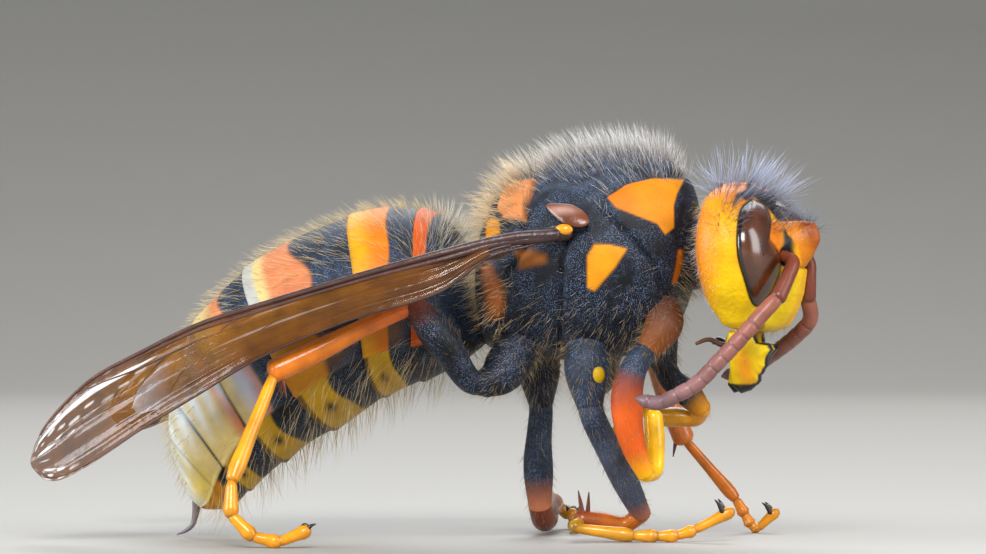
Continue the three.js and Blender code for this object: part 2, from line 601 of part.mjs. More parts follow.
function makeThorax(grownThorax, grownHead) {
  const walls = [PRONOTUM_SUTURE, SCUTELLUM_SUTURE, PROPODEUM_SUTURE].map(sutureWall).map(toSolid);
  const plates = walls.reduce((rest, wall) => rest.subtract(wall), toSolid(thoraxShape(0))).decompose();
  const names = [
    ['pronotum', [6.8, 11.0], BLACK],
    ['mesothorax', [4.0, 10.0], BLACK],
    ['scutellum', [0.6, 12.0], SALMON],
    ['propodeum', [0.8, 8.8], BLACK],
  ];
  for (const [name, [x, z], look] of names) {
    const distance = (plate) => {
      const box = plate.boundingBox();
      return Math.hypot((box.min[0] + box.max[0]) / 2 - x, (box.min[2] + box.max[2]) / 2 - z);
    };
    const sound = plates.filter((plate) => plate.volume() > 1);
    const nearest = sound.reduce((best, plate) => (distance(plate) < distance(best) ? plate : best));
    addPiece(name, toGeometry(nearest), look);
  }
  const turnedHead = grownHead.clone().translate(-NECK_PIVOT, 0, 0).applyMatrix4(headGroup.matrix);
  const neck = limb([[6.9, 0, 10.3], [7.7, 0, 10.2], [8.9, 0, 10.1]], [0.9, 0.65, 0.9], 3, 10);
  addPiece('neck', trim(neck, [grownThorax, turnedHead]), BLACK);
  const tegula = trim(ball([3.4, -3.1, 11.65], [0.78, 0.62, 0.33]), [grownThorax]);
  addPiece('tegula_right', tegula, RED_BROWN);
  addPiece('tegula_left', mirrored(tegula), RED_BROWN);
}

// Gaster

function makeGaster(grownThorax) {
  const looks = [BLACK, BLACK, BLACK, ORANGE, YELLOW, LEMON];
  let start = 0;
  SEGMENT_ENDS.forEach((end, i) => {
    const last = i === SEGMENT_ENDS.length - 1;
    const cut = i === 0 ? 0 : SEGMENT_CUTS[i];
    const swell = (share) => (last ? 0 : SEGMENT_SWELL * share ** 3);
    const piece = bodyLoft(GASTER, start + cut, end, SEGMENT_STEPS[i], swell);
    addPiece(`gaster_segment_${i + 1}`, i === 0 ? trim(piece, [grownThorax]) : piece, looks[i]);
    start = end;
  });
  const tail = bodyLoft(GASTER, start - 2, start, 3, (share) => GAP * (1 + share)).translate(0, 0, -GAP);
  const sting = limb(STING, [0.28, 0.27, 0.24, 0.2, 0.1], 6, 8);
  addPiece('sting', trim(sting, [tail, FLOOR]), RED_BROWN);
}

// Wings

function wingBlade(upperLine, lowerLine, columns, crossVeins) {
  const upper = new THREE.CatmullRomCurve3(upperLine.map((p) => new THREE.Vector3(...p)));
  const lower = new THREE.CatmullRomCurve3(lowerLine.map((p) => new THREE.Vector3(...p)));
  const grid = (i, j) => {
    const a = upper.getPoint(i / columns);
    return a.lerp(lower.getPoint(i / columns), j / WING_ROWS);
  };
  const onVein = (i, j) => WING_FRONT_VEINS.includes(j) || j === WING_ROWS
    || crossVeins.some(([share, from, to]) => Math.round(share * columns) === i && j > from && j < to);
  const faces = [[], []];
  for (let i = 0; i <= columns; i += 1) {
    for (let j = 0; j <= WING_ROWS; j += 1) {
      const point = grid(i, j);
      const along = grid(Math.min(i + 1, columns), j).sub(grid(Math.max(i - 1, 0), j));
      const down = grid(i, Math.min(j + 1, WING_ROWS)).sub(grid(i, Math.max(j - 1, 0)));
      const out = along.cross(down).normalize();
      const taper = 1 - 0.45 * Math.max(i / columns - 0.85, 0) / 0.15;
      const thick = (onVein(i, j) ? VEIN : MEMBRANE) * taper;
      faces[0].push(point.clone().addScaledVector(out, thick));
      faces[1].push(point.clone().addScaledVector(out, -thick));
    }
  }
  const width = WING_ROWS + 1;
  const count = faces[0].length;
  const positions = faces.flat().flatMap((p) => p.toArray());
  const index = [];
  for (let i = 0; i < columns; i += 1) {
    for (let j = 0; j < WING_ROWS; j += 1) {
      const a = i * width + j;
      const b = a + width;
      for (const [p, q, r] of [[a, b, b + 1], [a, b + 1, a + 1]]) {
        index.push(p, q, r, p + count, r + count, q + count);
      }
    }
  }
  const rim = [
    ...Array.from({ length: columns }, (_, i) => i * width),
    ...Array.from({ length: WING_ROWS }, (_, j) => columns * width + j),
    ...Array.from({ length: columns }, (_, i) => (columns - i) * width + WING_ROWS),
    ...Array.from({ length: WING_ROWS }, (_, j) => WING_ROWS - j),
  ];
  rim.forEach((a, k) => {
    const b = rim[(k + 1) % rim.length];
    index.push(b, a, a + count, b, a + count, b + count);
  });
  return outward(positions, index);
}

function makeWings() {
  const [rootX, , rootZ] = FOREWING_UPPER[0];
  const leftWingLift = new THREE.Matrix4().makeTranslation(rootX, 0, rootZ)
    .multiply(new THREE.Matrix4().makeRotationY(LEFT_WING_LIFT))
    .multiply(new THREE.Matrix4().makeTranslation(-rootX, 0, -rootZ));
  const forewing = wingBlade(FOREWING_UPPER, FOREWING_LOWER, 26, CROSS_VEINS);
  const hindwing = wingBlade(HINDWING_UPPER, HINDWING_LOWER, 13, CROSS_VEINS.slice(0, 2));
  addPiece('forewing_right', forewing, AMBER);
  const lift = (wing) => mirrored(wing).applyMatrix4(leftWingLift);
  addPiece('forewing_left', lift(forewing), AMBER);
  addPiece('hindwing_right', hindwing, AMBER);
  addPiece('hindwing_left', lift(hindwing), AMBER);
}

// Legs

function claw(tip, heading, side) {
  const start = new THREE.Vector3(...tip);
  const across = new THREE.Vector3(-heading.y, heading.x, 0).normalize().multiplyScalar(side);
  const root = start.clone().addScaledVector(across, 0.08);
  const middle = start.clone().addScaledVector(heading, 0.55).addScaledVector(across, 0.24);
  const end = start.clone().addScaledVector(heading, 0.95).addScaledVector(across, 0.3);
  end.z -= 0.12;
  return limb([root, middle, end].map((p) => p.toArray()), [CLAW_RADIUS * 1.4, CLAW_RADIUS, 0.05], 2, 5);
}

function makeLeg(name, leg, grownThorax) {
  const coxa = leg.coxa;
  const femur = { line: [coxa.line.at(-1), ...leg.femur.line], radius: leg.femur.radius };
  const tibia = { line: [femur.line.at(-1), ...leg.tibia.line], radius: leg.tibia.radius };
  const joints = [tibia.line.at(-1), ...leg.tarsus];
  addPiece(`coxa_${name}`, trim(limb(coxa.line, coxa.radius, 4, 10), [grownThorax]), BLACK);
  addPiece(`femur_${name}`, trim(limb(femur.line, femur.radius, 6), [grownLimb(coxa)]), BLACK);
  const spurs = leg.spurs.map((line) => limb(line, [SPUR_RADIUS, 0.07], 2, 5));
  const shin = fuse([limb(tibia.line, tibia.radius, 6), ...spurs]);
  addPiece(`tibia_${name}`, trim(shin, [grownLimb(femur)]), ORANGE);
  const chain = jointedLimb(joints, leg.thick, leg.thick * 0.85, 6);
  const heading = new THREE.Vector3(...leg.claw);
  const start = joints.at(-1).map((v, k) => THREE.MathUtils.lerp(joints.at(-2)[k], v, 0.72));
  const claws = [-1, 1].map((side) => claw(start, heading, side));
  addPiece(`tarsus_${name}`, trim(fuse([chain, ...claws]), [grownLimb(tibia), FLOOR]), PALE_LEG);
}

const FLOOR = new THREE.BoxGeometry(40, 40, 2).translate(0, 0, -1);
const grownThorax = thoraxShape(GAP);

makeHead();
makeMouth();
const grownHead = headLoft(HEAD_BOTTOM, 12.62, HEAD_STEPS, GAP);
makeAntenna('right', SCAPE_RIGHT, FLAGELLUM_RIGHT, grownHead);
makeAntenna('left', SCAPE_LEFT, FLAGELLUM_LEFT, grownHead);
makeThorax(grownThorax, grownHead);
makeGaster(grownThorax);
makeWings();
Object.entries(LEGS).forEach(([name, leg]) => makeLeg(name, leg, grownThorax));

// The origin: the middle of the box round the insect, at its lowest point
const extent = new THREE.Box3().setFromObject(hornet);
const middle = extent.getCenter(new THREE.Vector3());
hornet.position.set(-middle.x, -middle.y, -extent.min.z);

export default hornet;
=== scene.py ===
"""The looks of a life-size yellow hornet queen, standing with folded wings.

Shapes are worked out in millimetres in the insect's own frame: X forward to the head, Y to its
left, Z up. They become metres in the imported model's frame when a piece is made.
"""

import math

import bpy
import numpy as np
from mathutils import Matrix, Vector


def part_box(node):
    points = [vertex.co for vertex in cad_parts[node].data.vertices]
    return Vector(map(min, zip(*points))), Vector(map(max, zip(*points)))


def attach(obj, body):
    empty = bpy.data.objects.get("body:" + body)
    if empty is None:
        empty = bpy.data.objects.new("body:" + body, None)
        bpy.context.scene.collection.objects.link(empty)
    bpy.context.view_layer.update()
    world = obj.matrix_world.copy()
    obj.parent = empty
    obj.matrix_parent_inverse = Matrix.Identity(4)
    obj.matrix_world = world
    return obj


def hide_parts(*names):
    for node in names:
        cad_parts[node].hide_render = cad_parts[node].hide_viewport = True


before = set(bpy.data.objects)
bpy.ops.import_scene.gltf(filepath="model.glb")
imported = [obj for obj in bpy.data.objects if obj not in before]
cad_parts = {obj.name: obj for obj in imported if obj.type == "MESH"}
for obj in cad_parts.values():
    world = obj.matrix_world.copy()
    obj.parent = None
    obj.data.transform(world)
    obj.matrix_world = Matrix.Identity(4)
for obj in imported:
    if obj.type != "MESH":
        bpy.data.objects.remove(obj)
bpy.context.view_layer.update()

# Sizes shared with the solids

GASTER_STEP = 0.11
GASTER_ENDS = [3.35, 5, 7, 9, 11, 15]
GASTER_BOWS = [0.42, 0.45, 0.15, 0.35, 0.65, 0]
HEAD_TURN = math.radians(-12)
NECK_PIVOT = 8.2
EYE_LOOK = math.radians(26)
SIDE_LOOK = math.radians(14)

# Head, as level sections: height, front, back, half the width
HEAD = [
    (12.62, 9.45, 8.55, 1.2), (12.35, 9.85, 8.4, 2.1), (12.0, 10.15, 8.28, 2.6),
    (11.4, 10.66, 8.15, 3.0), (10.85, 11.0, 8.06, 3.18), (10.3, 11.08, 8.04, 3.22),
    (9.5, 10.98, 8.12, 3.05), (8.8, 10.85, 8.22, 2.7), (8.2, 10.75, 8.4, 2.2),
    (7.6, 10.6, 8.78, 1.72), (7.3, 10.42, 9.0, 1.4),
]
EYE = [
    (1.14, 12.12), (0.74, 11.8), (0.56, 11.1), (0.56, 10.2), (0.78, 9.4), (1.21, 8.4), (1.53, 8.6),
    (1.96, 9.26), (2.12, 9.95), (1.92, 10.36), (1.54, 10.92), (1.76, 11.4), (1.58, 11.9),
]
CLYPEUS = [(0.7, 9.72), (1.25, 9.4), (1.55, 8.8), (1.52, 8.2), (1.3, 7.85), (0.95, 7.58), (0.45, 7.47)]
MANDIBLE = [
    (9.15, 7.52), (10.05, 7.52), (10.18, 7.12), (10.64, 7.04), (10.72, 6.85), (10.44, 6.52),
    (10.44, 6.28), (10.12, 5.95), (10.08, 5.72), (9.68, 5.42), (9.28, 5.3), (9.02, 5.56),
    (9.0, 6.45), (8.98, 7.1),
]
MANDIBLE_OUT = 1.2
MANDIBLE_LEAN = 0.34
MANDIBLE_BACK = 0.65
SCAPES = {
    "right": [(11.0, -0.8, 10.14), (11.48, -1.0, 9.95), (11.5, -1.46, 9.42), (11.32, -1.93, 8.7)],
    "left": [(10.8, 0.8, 10.25), (11.3, 0.8, 9.95), (11.34, 0.8, 9.4), (11.22, 0.97, 8.7)],
}
FLAGELLA = {
    "right": [
        (11.3, -1.95, 8.68), (10.72, -2.5, 7.87), (10.13, -2.9, 7.08), (9.53, -3.25, 6.35),
        (8.95, -3.55, 5.7), (8.33, -3.8, 5.31), (7.68, -3.95, 5.03), (6.87, -4.05, 5.17),
    ],
    "left": [
        (11.22, 0.97, 8.7), (11.05, 1.6, 7.9), (10.35, 1.95, 7.3), (9.45, 2.5, 6.8),
        (8.55, 3.0, 6.35), (7.65, 3.4, 6.02), (6.8, 3.6, 5.82),
    ],
}
FLAGELLUM_PIECES = 11

# Body sections: top forward and up, bottom forward and up, half the width
THORAX = [
    (7.42, 11.9, 7.1, 9.0, 1.75), (7.05, 12.95, 6.6, 7.6, 2.45), (6.2, 13.66, 5.6, 6.95, 2.95),
    (4.7, 13.88, 4.4, 6.6, 3.25), (2.98, 13.72, 3.2, 6.5, 3.22), (1.5, 13.15, 2.1, 6.5, 2.95),
    (0.25, 12.35, 1.15, 6.5, 2.6), (-0.3, 11.0, 0.5, 6.62, 2.15), (-0.42, 9.5, 0.05, 6.8, 1.6),
    (-0.32, 8.4, -0.15, 6.95, 0.95),
]
GASTER = [
    (-0.4, 8.05, -0.3, 7.0, 0.5), (-0.9, 9.5, -0.85, 6.5, 1.5), (-1.25, 10.8, -1.4, 6.15, 2.5),
    (-2.1, 11.6, -2.25, 5.8, 3.2), (-3.5, 11.93, -3.1, 5.45, 3.65), (-5.1, 11.6, -4.0, 5.1, 3.9),
    (-7.17, 10.82, -4.9, 4.5, 4.0), (-8.95, 9.75, -5.9, 3.9, 3.9), (-10.1, 8.75, -6.9, 3.35, 3.6),
    (-10.98, 7.7, -7.75, 2.75, 3.2), (-11.6, 6.3, -8.5, 2.15, 2.7), (-11.92, 4.95, -9.05, 1.7, 2.2),
    (-12.0, 4.0, -9.4, 1.3, 1.8), (-11.92, 3.2, -9.7, 1.05, 1.4), (-11.6, 2.25, -10.15, 0.95, 0.95),
    (-11.35, 1.6, -10.65, 0.95, 0.5),
]
STING = [(-11.02, 0, 1.3), (-11.1, 0, 0.8), (-11.2, 0, 0.45), (-11.45, 0, 0.22), (-11.8, 0, 0.07)]

# Right wings: upper and lower edge, root first
FOREWING = (
    [(3.21, -3.72, 11.16), (1.08, -4.4, 10.76), (-0.7, -4.95, 10.31), (-3.88, -5.22, 9.4),
     (-6.92, -5.32, 8.52), (-9.33, -5.35, 7.78), (-11.4, -5.35, 6.82), (-13.4, -5.35, 5.76),
     (-14.89, -5.35, 4.33), (-15.6, -5.4, 3.19)],
    [(3.21, -3.72, 10.56), (1.11, -4.45, 10.13), (-0.62, -5.2, 8.84), (-3.75, -5.88, 7.85),
     (-6.74, -6.3, 6.6), (-9.15, -6.2, 5.22), (-11.24, -6.0, 4.01), (-13.27, -5.75, 2.73),
     (-14.6, -5.6, 2.18), (-15.46, -5.5, 2.42)],
)
HINDWING = (
    [(1.5, -3.42, 10.6), (0.0, -3.75, 10.4), (-2.0, -4.2, 9.95), (-5.0, -4.5, 8.95),
     (-7.6, -4.55, 8.1), (-9.0, -4.6, 7.1)],
    [(1.5, -3.46, 10.05), (0.0, -3.8, 9.9), (-2.0, -4.3, 9.4), (-5.0, -4.72, 8.25),
     (-7.4, -4.9, 7.15), (-8.8, -4.8, 6.7)],
)
LEFT_WING_LIFT = math.radians(4.6)

# Sizes of the scene only
TARSUS_SWELL = [0.55, 0.72, 0.78, 0.8, 0.82, 0.84, 0.86, 0.89, 0.93, 0.98, 1.04, 1.08, 1.06, 0.9]
HEAD_TOP = 12.62
HEAD_BOTTOM = 7.9
BELLY_TURN = math.radians(126)
BELLY_FOLD = math.radians(124)
BELLY_HAIR = math.radians(118)
NECK = [(6.7, 0, 10.3), (7.7, 0, 10.15), (8.9, 0, 10.1)]
NECK_RADII = [1.7, 1.15, 1.4]
TEGULA_SIZE = (0.86, 0.16, 0.36)
TEGULA_TILT = math.radians(22)
HAIR_ABOVE_FLOOR = 0.01
LENS_SWELL = 0.27
CAMERA_DISTANCE = 196
CAMERA_HEIGHT = 9.4
CAMERA_LENS = 200.4
SENSOR_WIDTH = 36

# The stage, in metres
FLOOR_NEAR = -0.35
FLOOR_FAR = 0.25
FLOOR_HALF_WIDTH = 0.7
BACKDROP_BEND = 0.18
BACKDROP_TOP = 0.8
LIGHTS = [
    ("key", (0.05, -0.24, 0.17), (0.12, 0.12), 0.95, (1, 1, 1)),
    ("fill", (-0.20, -0.13, 0.06), (0.14, 0.14), 0.72, (0.82, 0.91, 1)),
    ("rim", (-0.03, 0.2, 0.2), (0.2, 0.2), 0.6, (0.95, 0.97, 1)),
    ("front", (0.16, -0.04, 0.05), (0.075, 0.22), 0.3, (1, 1, 1)),
]

# Colours, linear

BLACK = (0.006, 0.007, 0.010)
BLUE_BLACK = (0.014, 0.020, 0.032)
DARK_BROWN = (0.030, 0.012, 0.006)
RED_BROWN = (0.20, 0.035, 0.010)
ORANGE = (0.58, 0.145, 0.004)
DEEP_ORANGE = (0.54, 0.078, 0.004)
SALMON = (0.52, 0.165, 0.065)
YELLOW_ORANGE = (0.66, 0.25, 0.003)
GOLD = (0.62, 0.225, 0.003)
YELLOW = (0.72, 0.39, 0.002)
LEMON = (0.70, 0.47, 0.001)
OCHRE = (0.42, 0.20, 0.006)
PALE_YELLOW = (0.56, 0.42, 0.16)
GREY = (0.30, 0.33, 0.36)
EYE_BROWN = (0.058, 0.014, 0.002)
AMBER = (0.115, 0.034, 0.001)
SHEEN = (0.045, 0.052, 0.075)
# Painted sheen: the blue of the fine down's specks on black shell
DOWN_SHEEN_BLUE = (0.13, 0.19, 0.33)
FLOOR_GREY = (0.36, 0.345, 0.315)
MOUTH_BROWN = (0.09, 0.03, 0.012)

# Legs: the line of each part, its radii, and its colour at shares of its length
LEGS = {
    "hind_right": {
        "coxa": ([(1.3, -1.3, 7.0), (0.75, -1.95, 5.95), (0.3, -2.4, 5.62)], [0.75, 0.8, 0.5]),
        "femur": ([(-0.15, -2.7, 5.75), (-0.87, -3.45, 7.0), (-1.85, -4.05, 8.42)],
                  [0.42, 0.5, 0.62, 0.4]),
        "tibia": ([(-3.6, -4.5, 7.6), (-5.1, -4.9, 6.82), (-6.5, -5.4, 6.12)], [0.3, 0.32, 0.4, 0.42]),
        "spurs": [[(-6.3, -5.4, 6.0), (-6.1, -5.4, 5.15)], [(-6.45, -5.2, 6.0), (-6.4, -5.0, 5.2)]],
        "tarsus": [(-7.5, -7.45, 2.3), (-7.45, -7.7, 1.15), (-6.7, -7.6, 0.4), (-5.8, -7.45, 0.2),
                   (-4.8, -7.25, 0.62)],
        "thick": 0.27,
        "claw": (0.25, 0.3, 0.45),
        "paint": {"coxa": [BLACK, BLACK], "femur": [BLACK, BLACK, BLACK, BLACK, RED_BROWN],
                  "tibia": [DEEP_ORANGE, ORANGE, ORANGE], "tarsus": [YELLOW_ORANGE, YELLOW_ORANGE]},
    },
    "middle_right": {
        "coxa": ([(3.75, -1.3, 7.1), (3.85, -1.75, 5.9), (4.0, -1.95, 4.9)], [0.8, 0.78, 0.48]),
        "spot": (4.28, -2.14, 5.95),
        "femur": ([(4.1, -1.85, 4.45), (4.73, -0.5, 2.6), (5.28, 0.66, 0.95)], [0.44, 0.46, 0.48, 0.35]),
        "tibia": ([(4.7, 0.66, 0.6), (4.04, 0.42, 0.66), (3.2, 0.12, 0.76)], [0.3, 0.3, 0.35, 0.38]),
        "spurs": [[(3.45, 0.1, 0.9), (3.5, 0.05, 1.75)], [(3.3, -0.05, 0.95), (3.15, -0.1, 1.8)]],
        "tarsus": [(3.15, -0.62, 0.5), (5.18, -0.36, 0.24), (5.97, -0.16, 0.22), (6.66, 0.02, 0.23),
                   (7.27, 0.2, 0.42), (8.6, 0.55, 1.11)],
        "thick": 0.25,
        "claw": (-0.3, 0.0, 0.7),
        "paint": {"coxa": [BLUE_BLACK, BLUE_BLACK],
                  "femur": [SHEEN, BLUE_BLACK, SHEEN, SHEEN, SHEEN, SALMON],
                  "tibia": [ORANGE, RED_BROWN], "tarsus": [OCHRE, YELLOW_ORANGE, YELLOW_ORANGE]},
    },
    "front_right": {
        "coxa": ([(6.1, -1.2, 8.7), (6.6, -1.7, 7.8), (6.15, -2.15, 6.85)], [0.62, 0.7, 0.44]),
        "femur": ([(5.75, -2.45, 6.3), (5.5, -2.6, 5.4), (5.5, -2.6, 4.5), (5.72, -2.5, 3.4),
                   (6.08, -2.25, 2.5)], [0.42, 0.48, 0.56, 0.52, 0.42, 0.32]),
        "tibia": ([(6.26, -1.65, 2.6), (6.24, -1.5, 3.6), (6.17, -1.4, 4.5)], [0.3, 0.3, 0.36, 0.33]),
        "spurs": [[(6.2, -1.4, 4.4), (5.95, -1.0, 4.0)]],
        "tarsus": [(5.35, -0.3, 5.1), (4.75, 0.15, 4.6), (4.62, 0.4, 4.1), (4.66, 0.5, 3.6),
                   (4.95, 0.6, 2.9)],
        "thick": 0.22,
        "claw": (0.35, 0.1, -0.35),
        "paint": {"coxa": [BLACK, (0.20, 0.055, 0.008)],
                  "femur": [BLUE_BLACK, BLUE_BLACK, DEEP_ORANGE, DEEP_ORANGE, YELLOW],
                  "tibia": [YELLOW, YELLOW], "tarsus": [YELLOW_ORANGE, YELLOW_ORANGE]},
    },
    "front_left": {
        "coxa": ([(5.8, 1.0, 8.0), (5.8, 1.3, 7.0), (5.95, 1.5, 6.2)], [0.65, 0.68, 0.46]),
        "femur": ([(6.15, 1.65, 5.75), (6.7, 1.85, 5.25), (7.22, 1.95, 4.68)], [0.42, 0.44, 0.48, 0.34]),
        "tibia": ([(6.9, 2.35, 4.35), (6.2, 2.4, 4.38), (5.45, 2.3, 4.36)], [0.3, 0.3, 0.35, 0.33]),
        "spurs": [[(5.6, 2.3, 4.2), (5.35, 2.4, 3.75)]],
        "tarsus": [(4.55, 2.5, 4.75), (4.05, 2.6, 4.2), (3.92, 2.6, 3.7), (3.95, 2.6, 3.2),
                   (4.25, 2.6, 2.55)],
        "thick": 0.22,
        "claw": (0.35, -0.1, -0.35),
        "paint": {"coxa": [BLACK, BLACK], "femur": [BLACK, BLACK, BLACK, YELLOW_ORANGE],
                  "tibia": [YELLOW_ORANGE, OCHRE], "tarsus": [YELLOW_ORANGE, YELLOW_ORANGE]},
    },
    "middle_left": {
        "coxa": ([(3.4, 1.3, 7.1), (3.35, 2.0, 6.0), (3.35, 2.65, 5.6)], [0.8, 0.74, 0.46]),
        "spot": (3.78, 2.3, 5.9),
        "femur": ([(3.36, 3.0, 5.75), (3.42, 4.6, 7.2), (3.55, 6.2, 8.4)], [0.42, 0.44, 0.48, 0.34]),
        "tibia": ([(4.2, 6.7, 6.9), (4.85, 6.95, 5.0), (5.42, 7.12, 3.5)], [0.3, 0.32, 0.38, 0.4]),
        "spurs": [[(5.2, 7.1, 3.65), (5.05, 7.1, 2.8)]],
        "tarsus": [(7.3, 7.6, 1.25), (7.6, 7.68, 0.7), (7.82, 7.72, 0.32), (8.05, 7.78, 0.13),
                   (8.75, 7.95, 0.8)],
        "thick": 0.23,
        "claw": (-0.35, 0.0, 0.6),
        "paint": {"coxa": [BLACK, BLACK], "femur": [BLUE_BLACK, BLUE_BLACK, BLUE_BLACK, ORANGE],
                  "tibia": [ORANGE, SALMON, ORANGE], "tarsus": [ORANGE, YELLOW_ORANGE]},
    },
    "hind_left": {
        "coxa": ([(1.35, 1.2, 7.0), (1.25, 1.9, 5.7), (1.2, 2.3, 4.95)], [0.78, 0.76, 0.48]),
        "femur": ([(1.17, 2.45, 4.5), (0.95, 2.95, 3.0), (0.88, 3.5, 1.1)], [0.42, 0.46, 0.54, 0.42]),
        "tibia": ([(0.9, 4.0, 0.62), (0.7, 5.6, 0.8), (0.4, 7.3, 0.9), (0.1, 8.8, 0.95)],
                  [0.42, 0.45, 0.33, 0.38, 0.4]),
        "spurs": [[(0.1, 8.6, 1.0), (-0.1, 9.15, 1.65)]],
        "tarsus": [(0.6, 9.45, 0.55), (1.25, 8.4, 0.22), (1.4, 7.4, 0.21), (1.5, 6.6, 0.22),
                   (1.6, 5.8, 0.3), (1.75, 5.0, 0.8)],
        "thick": 0.25,
        "claw": (0.0, 0.3, 0.5),
        "paint": {"coxa": [BLACK, BLACK], "femur": [BLUE_BLACK, BLUE_BLACK, BLUE_BLACK, SALMON],
                  "tibia": [(0.10, 0.018, 0.004), (0.12, 0.02, 0.004), RED_BROWN, ORANGE],
                  "tarsus": [OCHRE, YELLOW_ORANGE]},
    },
}

# Markings, outlined as seen from a little before the side: forward and up

PRONOTUM_PATCH = [
    (3.98, 12.22), (4.75, 12.71), (5.53, 12.89), (6.76, 12.85), (6.48, 12.36), (6.34, 11.9),
    (6.34, 11.13), (6.02, 10.88), (5.74, 11.27), (5.18, 11.48), (4.3, 11.83),
]
PLEURAL_SPOT = [
    (3.31, 9.05), (3.31, 10.14), (3.56, 10.53), (4.05, 10.53), (4.68, 10.39), (4.26, 9.75), (3.56, 8.94),
]
WING_BASE_BLOTCH = [(0.81, 10.25), (1.3, 10.35), (1.83, 10.17), (1.83, 9.93), (0.95, 9.72)]
PROPODEUM_PATCH = [(-0.39, 9.72), (-0.11, 9.86), (0.25, 9.12), (0.35, 8.41), (0.25, 7.96), (-0.18, 7.96)]
SCUTELLUM_PATCH = [
    (1.44, 12.89), (1.3, 12.39), (1.09, 11.94), (1.09, 11.41), (0.42, 11.48), (0.11, 11.83),
    (0.25, 12.46), (0.67, 12.75),
]
METANOTUM_PATCH = [(-0.25, 11.58), (0.21, 11.41), (0.25, 10.95), (-0.25, 10.77)]
COLLAR_STRIP = [(6.48, 10.35), (6.76, 10.39), (6.69, 9.93), (6.44, 9.15), (6.27, 9.15), (6.41, 9.82)]
THORAX_SUTURES = [
    [(7.39, 13.1), (6.87, 13.03), (5.7, 13.03), (4.65, 12.78), (3.94, 12.32), (3.77, 11.86),
     (4.65, 10.98), (5.6, 9.93), (6.09, 8.59), (6.02, 7.53)],
    [(1.83, 13.52), (1.51, 12.89), (1.23, 12.11), (1.06, 11.27)],
    [(2.64, 10.84), (2.39, 9.93), (2.36, 8.59), (2.39, 6.83)],
    [(1.09, 10.42), (0.46, 9.47), (0.35, 8.24), (0.14, 6.83)],
    [(0.25, 12.5), (0.0, 11.7), (-0.4, 11.4)],
]
PLEURON = [(2.5, 6.2), (2.5, 10.6), (3.4, 11.0), (5.2, 10.0), (5.9, 8.4), (5.7, 6.2)]
PARAPSIDAL_LINE = [(1.69, 12.25), (2.22, 12.5), (2.89, 12.67)]
FOREHEAD_BLACK = [
    (0.4, 11.85), (0.55, 12.3), (0.95, 12.5), (1.1, 13.2), (4.2, 13.2), (4.2, 10.95), (2.69, 10.82),
    (2.55, 11.17), (2.34, 11.55), (2.1, 11.31), (1.82, 11.65), (1.58, 11.93), (1.19, 12.21),
    (0.88, 12.07), (0.7, 12.2),
]


# Curves and surfaces


def spline(points, shares):
    """Places on a smooth curve through the points, each spaced by the root of the distance."""
    p = np.asarray(points, float)
    last = len(p) - 1
    p = np.vstack([2 * p[0] - p[1], p, 2 * p[-1] - p[-2]])
    place = np.clip(np.asarray(shares, float), 0, 1) * last
    i = np.minimum(place.astype(int), last - 1)
    t = (place - i)[:, None]
    a, b, c, d = p[i], p[i + 1], p[i + 2], p[i + 3]
    before, between, after = (
        np.maximum(np.linalg.norm(v, axis=1, keepdims=True), 1e-8) ** 0.5 for v in (b - a, c - b, d - c)
    )
    leave = ((b - a) / before - (c - a) / (before + between) + (c - b) / between) * between
    arrive = ((c - b) / between - (d - b) / (between + after) + (d - c) / after) * between
    bent = (3 * (c - b) - 2 * leave - arrive) * t**2
    return b + leave * t + bent + (2 * (b - c) + leave + arrive) * t**3


def evenly(points, count):
    """Places at even distances along the smooth curve."""
    fine = spline(points, np.linspace(0, 1, 400))
    length = np.concatenate([[0], np.cumsum(np.linalg.norm(np.diff(fine, axis=0), axis=1))])
    wanted = np.linspace(0, length[-1], count)
    return np.stack([np.interp(wanted, length, fine[:, k]) for k in range(3)], axis=1)


def unit(v):
    return v / np.maximum(np.linalg.norm(v, axis=-1, keepdims=True), 1e-9)


def soft_step(x, edge, width):
    t = np.clip((x - edge) / width + 0.5, 0, 1)
    return t * t * (3 - 2 * t)


def blend(a, b, share):
    return a + (np.asarray(b, float) - a) * share[..., None]


def flat(colour, shape):
    """One colour for all points of a grid."""
    return np.broadcast_to(np.asarray(colour, float), tuple(shape[:2]) + (3,))


def line_distance(u, z, line):
    """Distance of places from a line of points."""
    best = np.full(np.shape(u), 1e9)
    for (u0, z0), (u1, z1) in zip(line, line[1:]):
        du, dz = u1 - u0, z1 - z0
        t = np.clip(((u - u0) * du + (z - z0) * dz) / max(du * du + dz * dz, 1e-9), 0, 1)
        best = np.minimum(best, np.hypot(u - u0 - t * du, z - z0 - t * dz))
    return best


def patch(u, z, outline, soft=0.06):
    """How far places are inside an outline, from 0 to 1, with a soft edge."""
    inside = np.zeros(np.shape(u), bool)
    closed = list(outline) + [outline[0]]
    for (u0, z0), (u1, z1) in zip(closed, closed[1:]):
        if z0 != z1:
            crossing = (z0 > z) != (z1 > z)
            inside ^= crossing & (u < (u1 - u0) * (z - z0) / (z1 - z0) + u0)
    distance = line_distance(u, z, closed)
    return soft_step(np.where(inside, distance, -distance), 0, soft * 2)


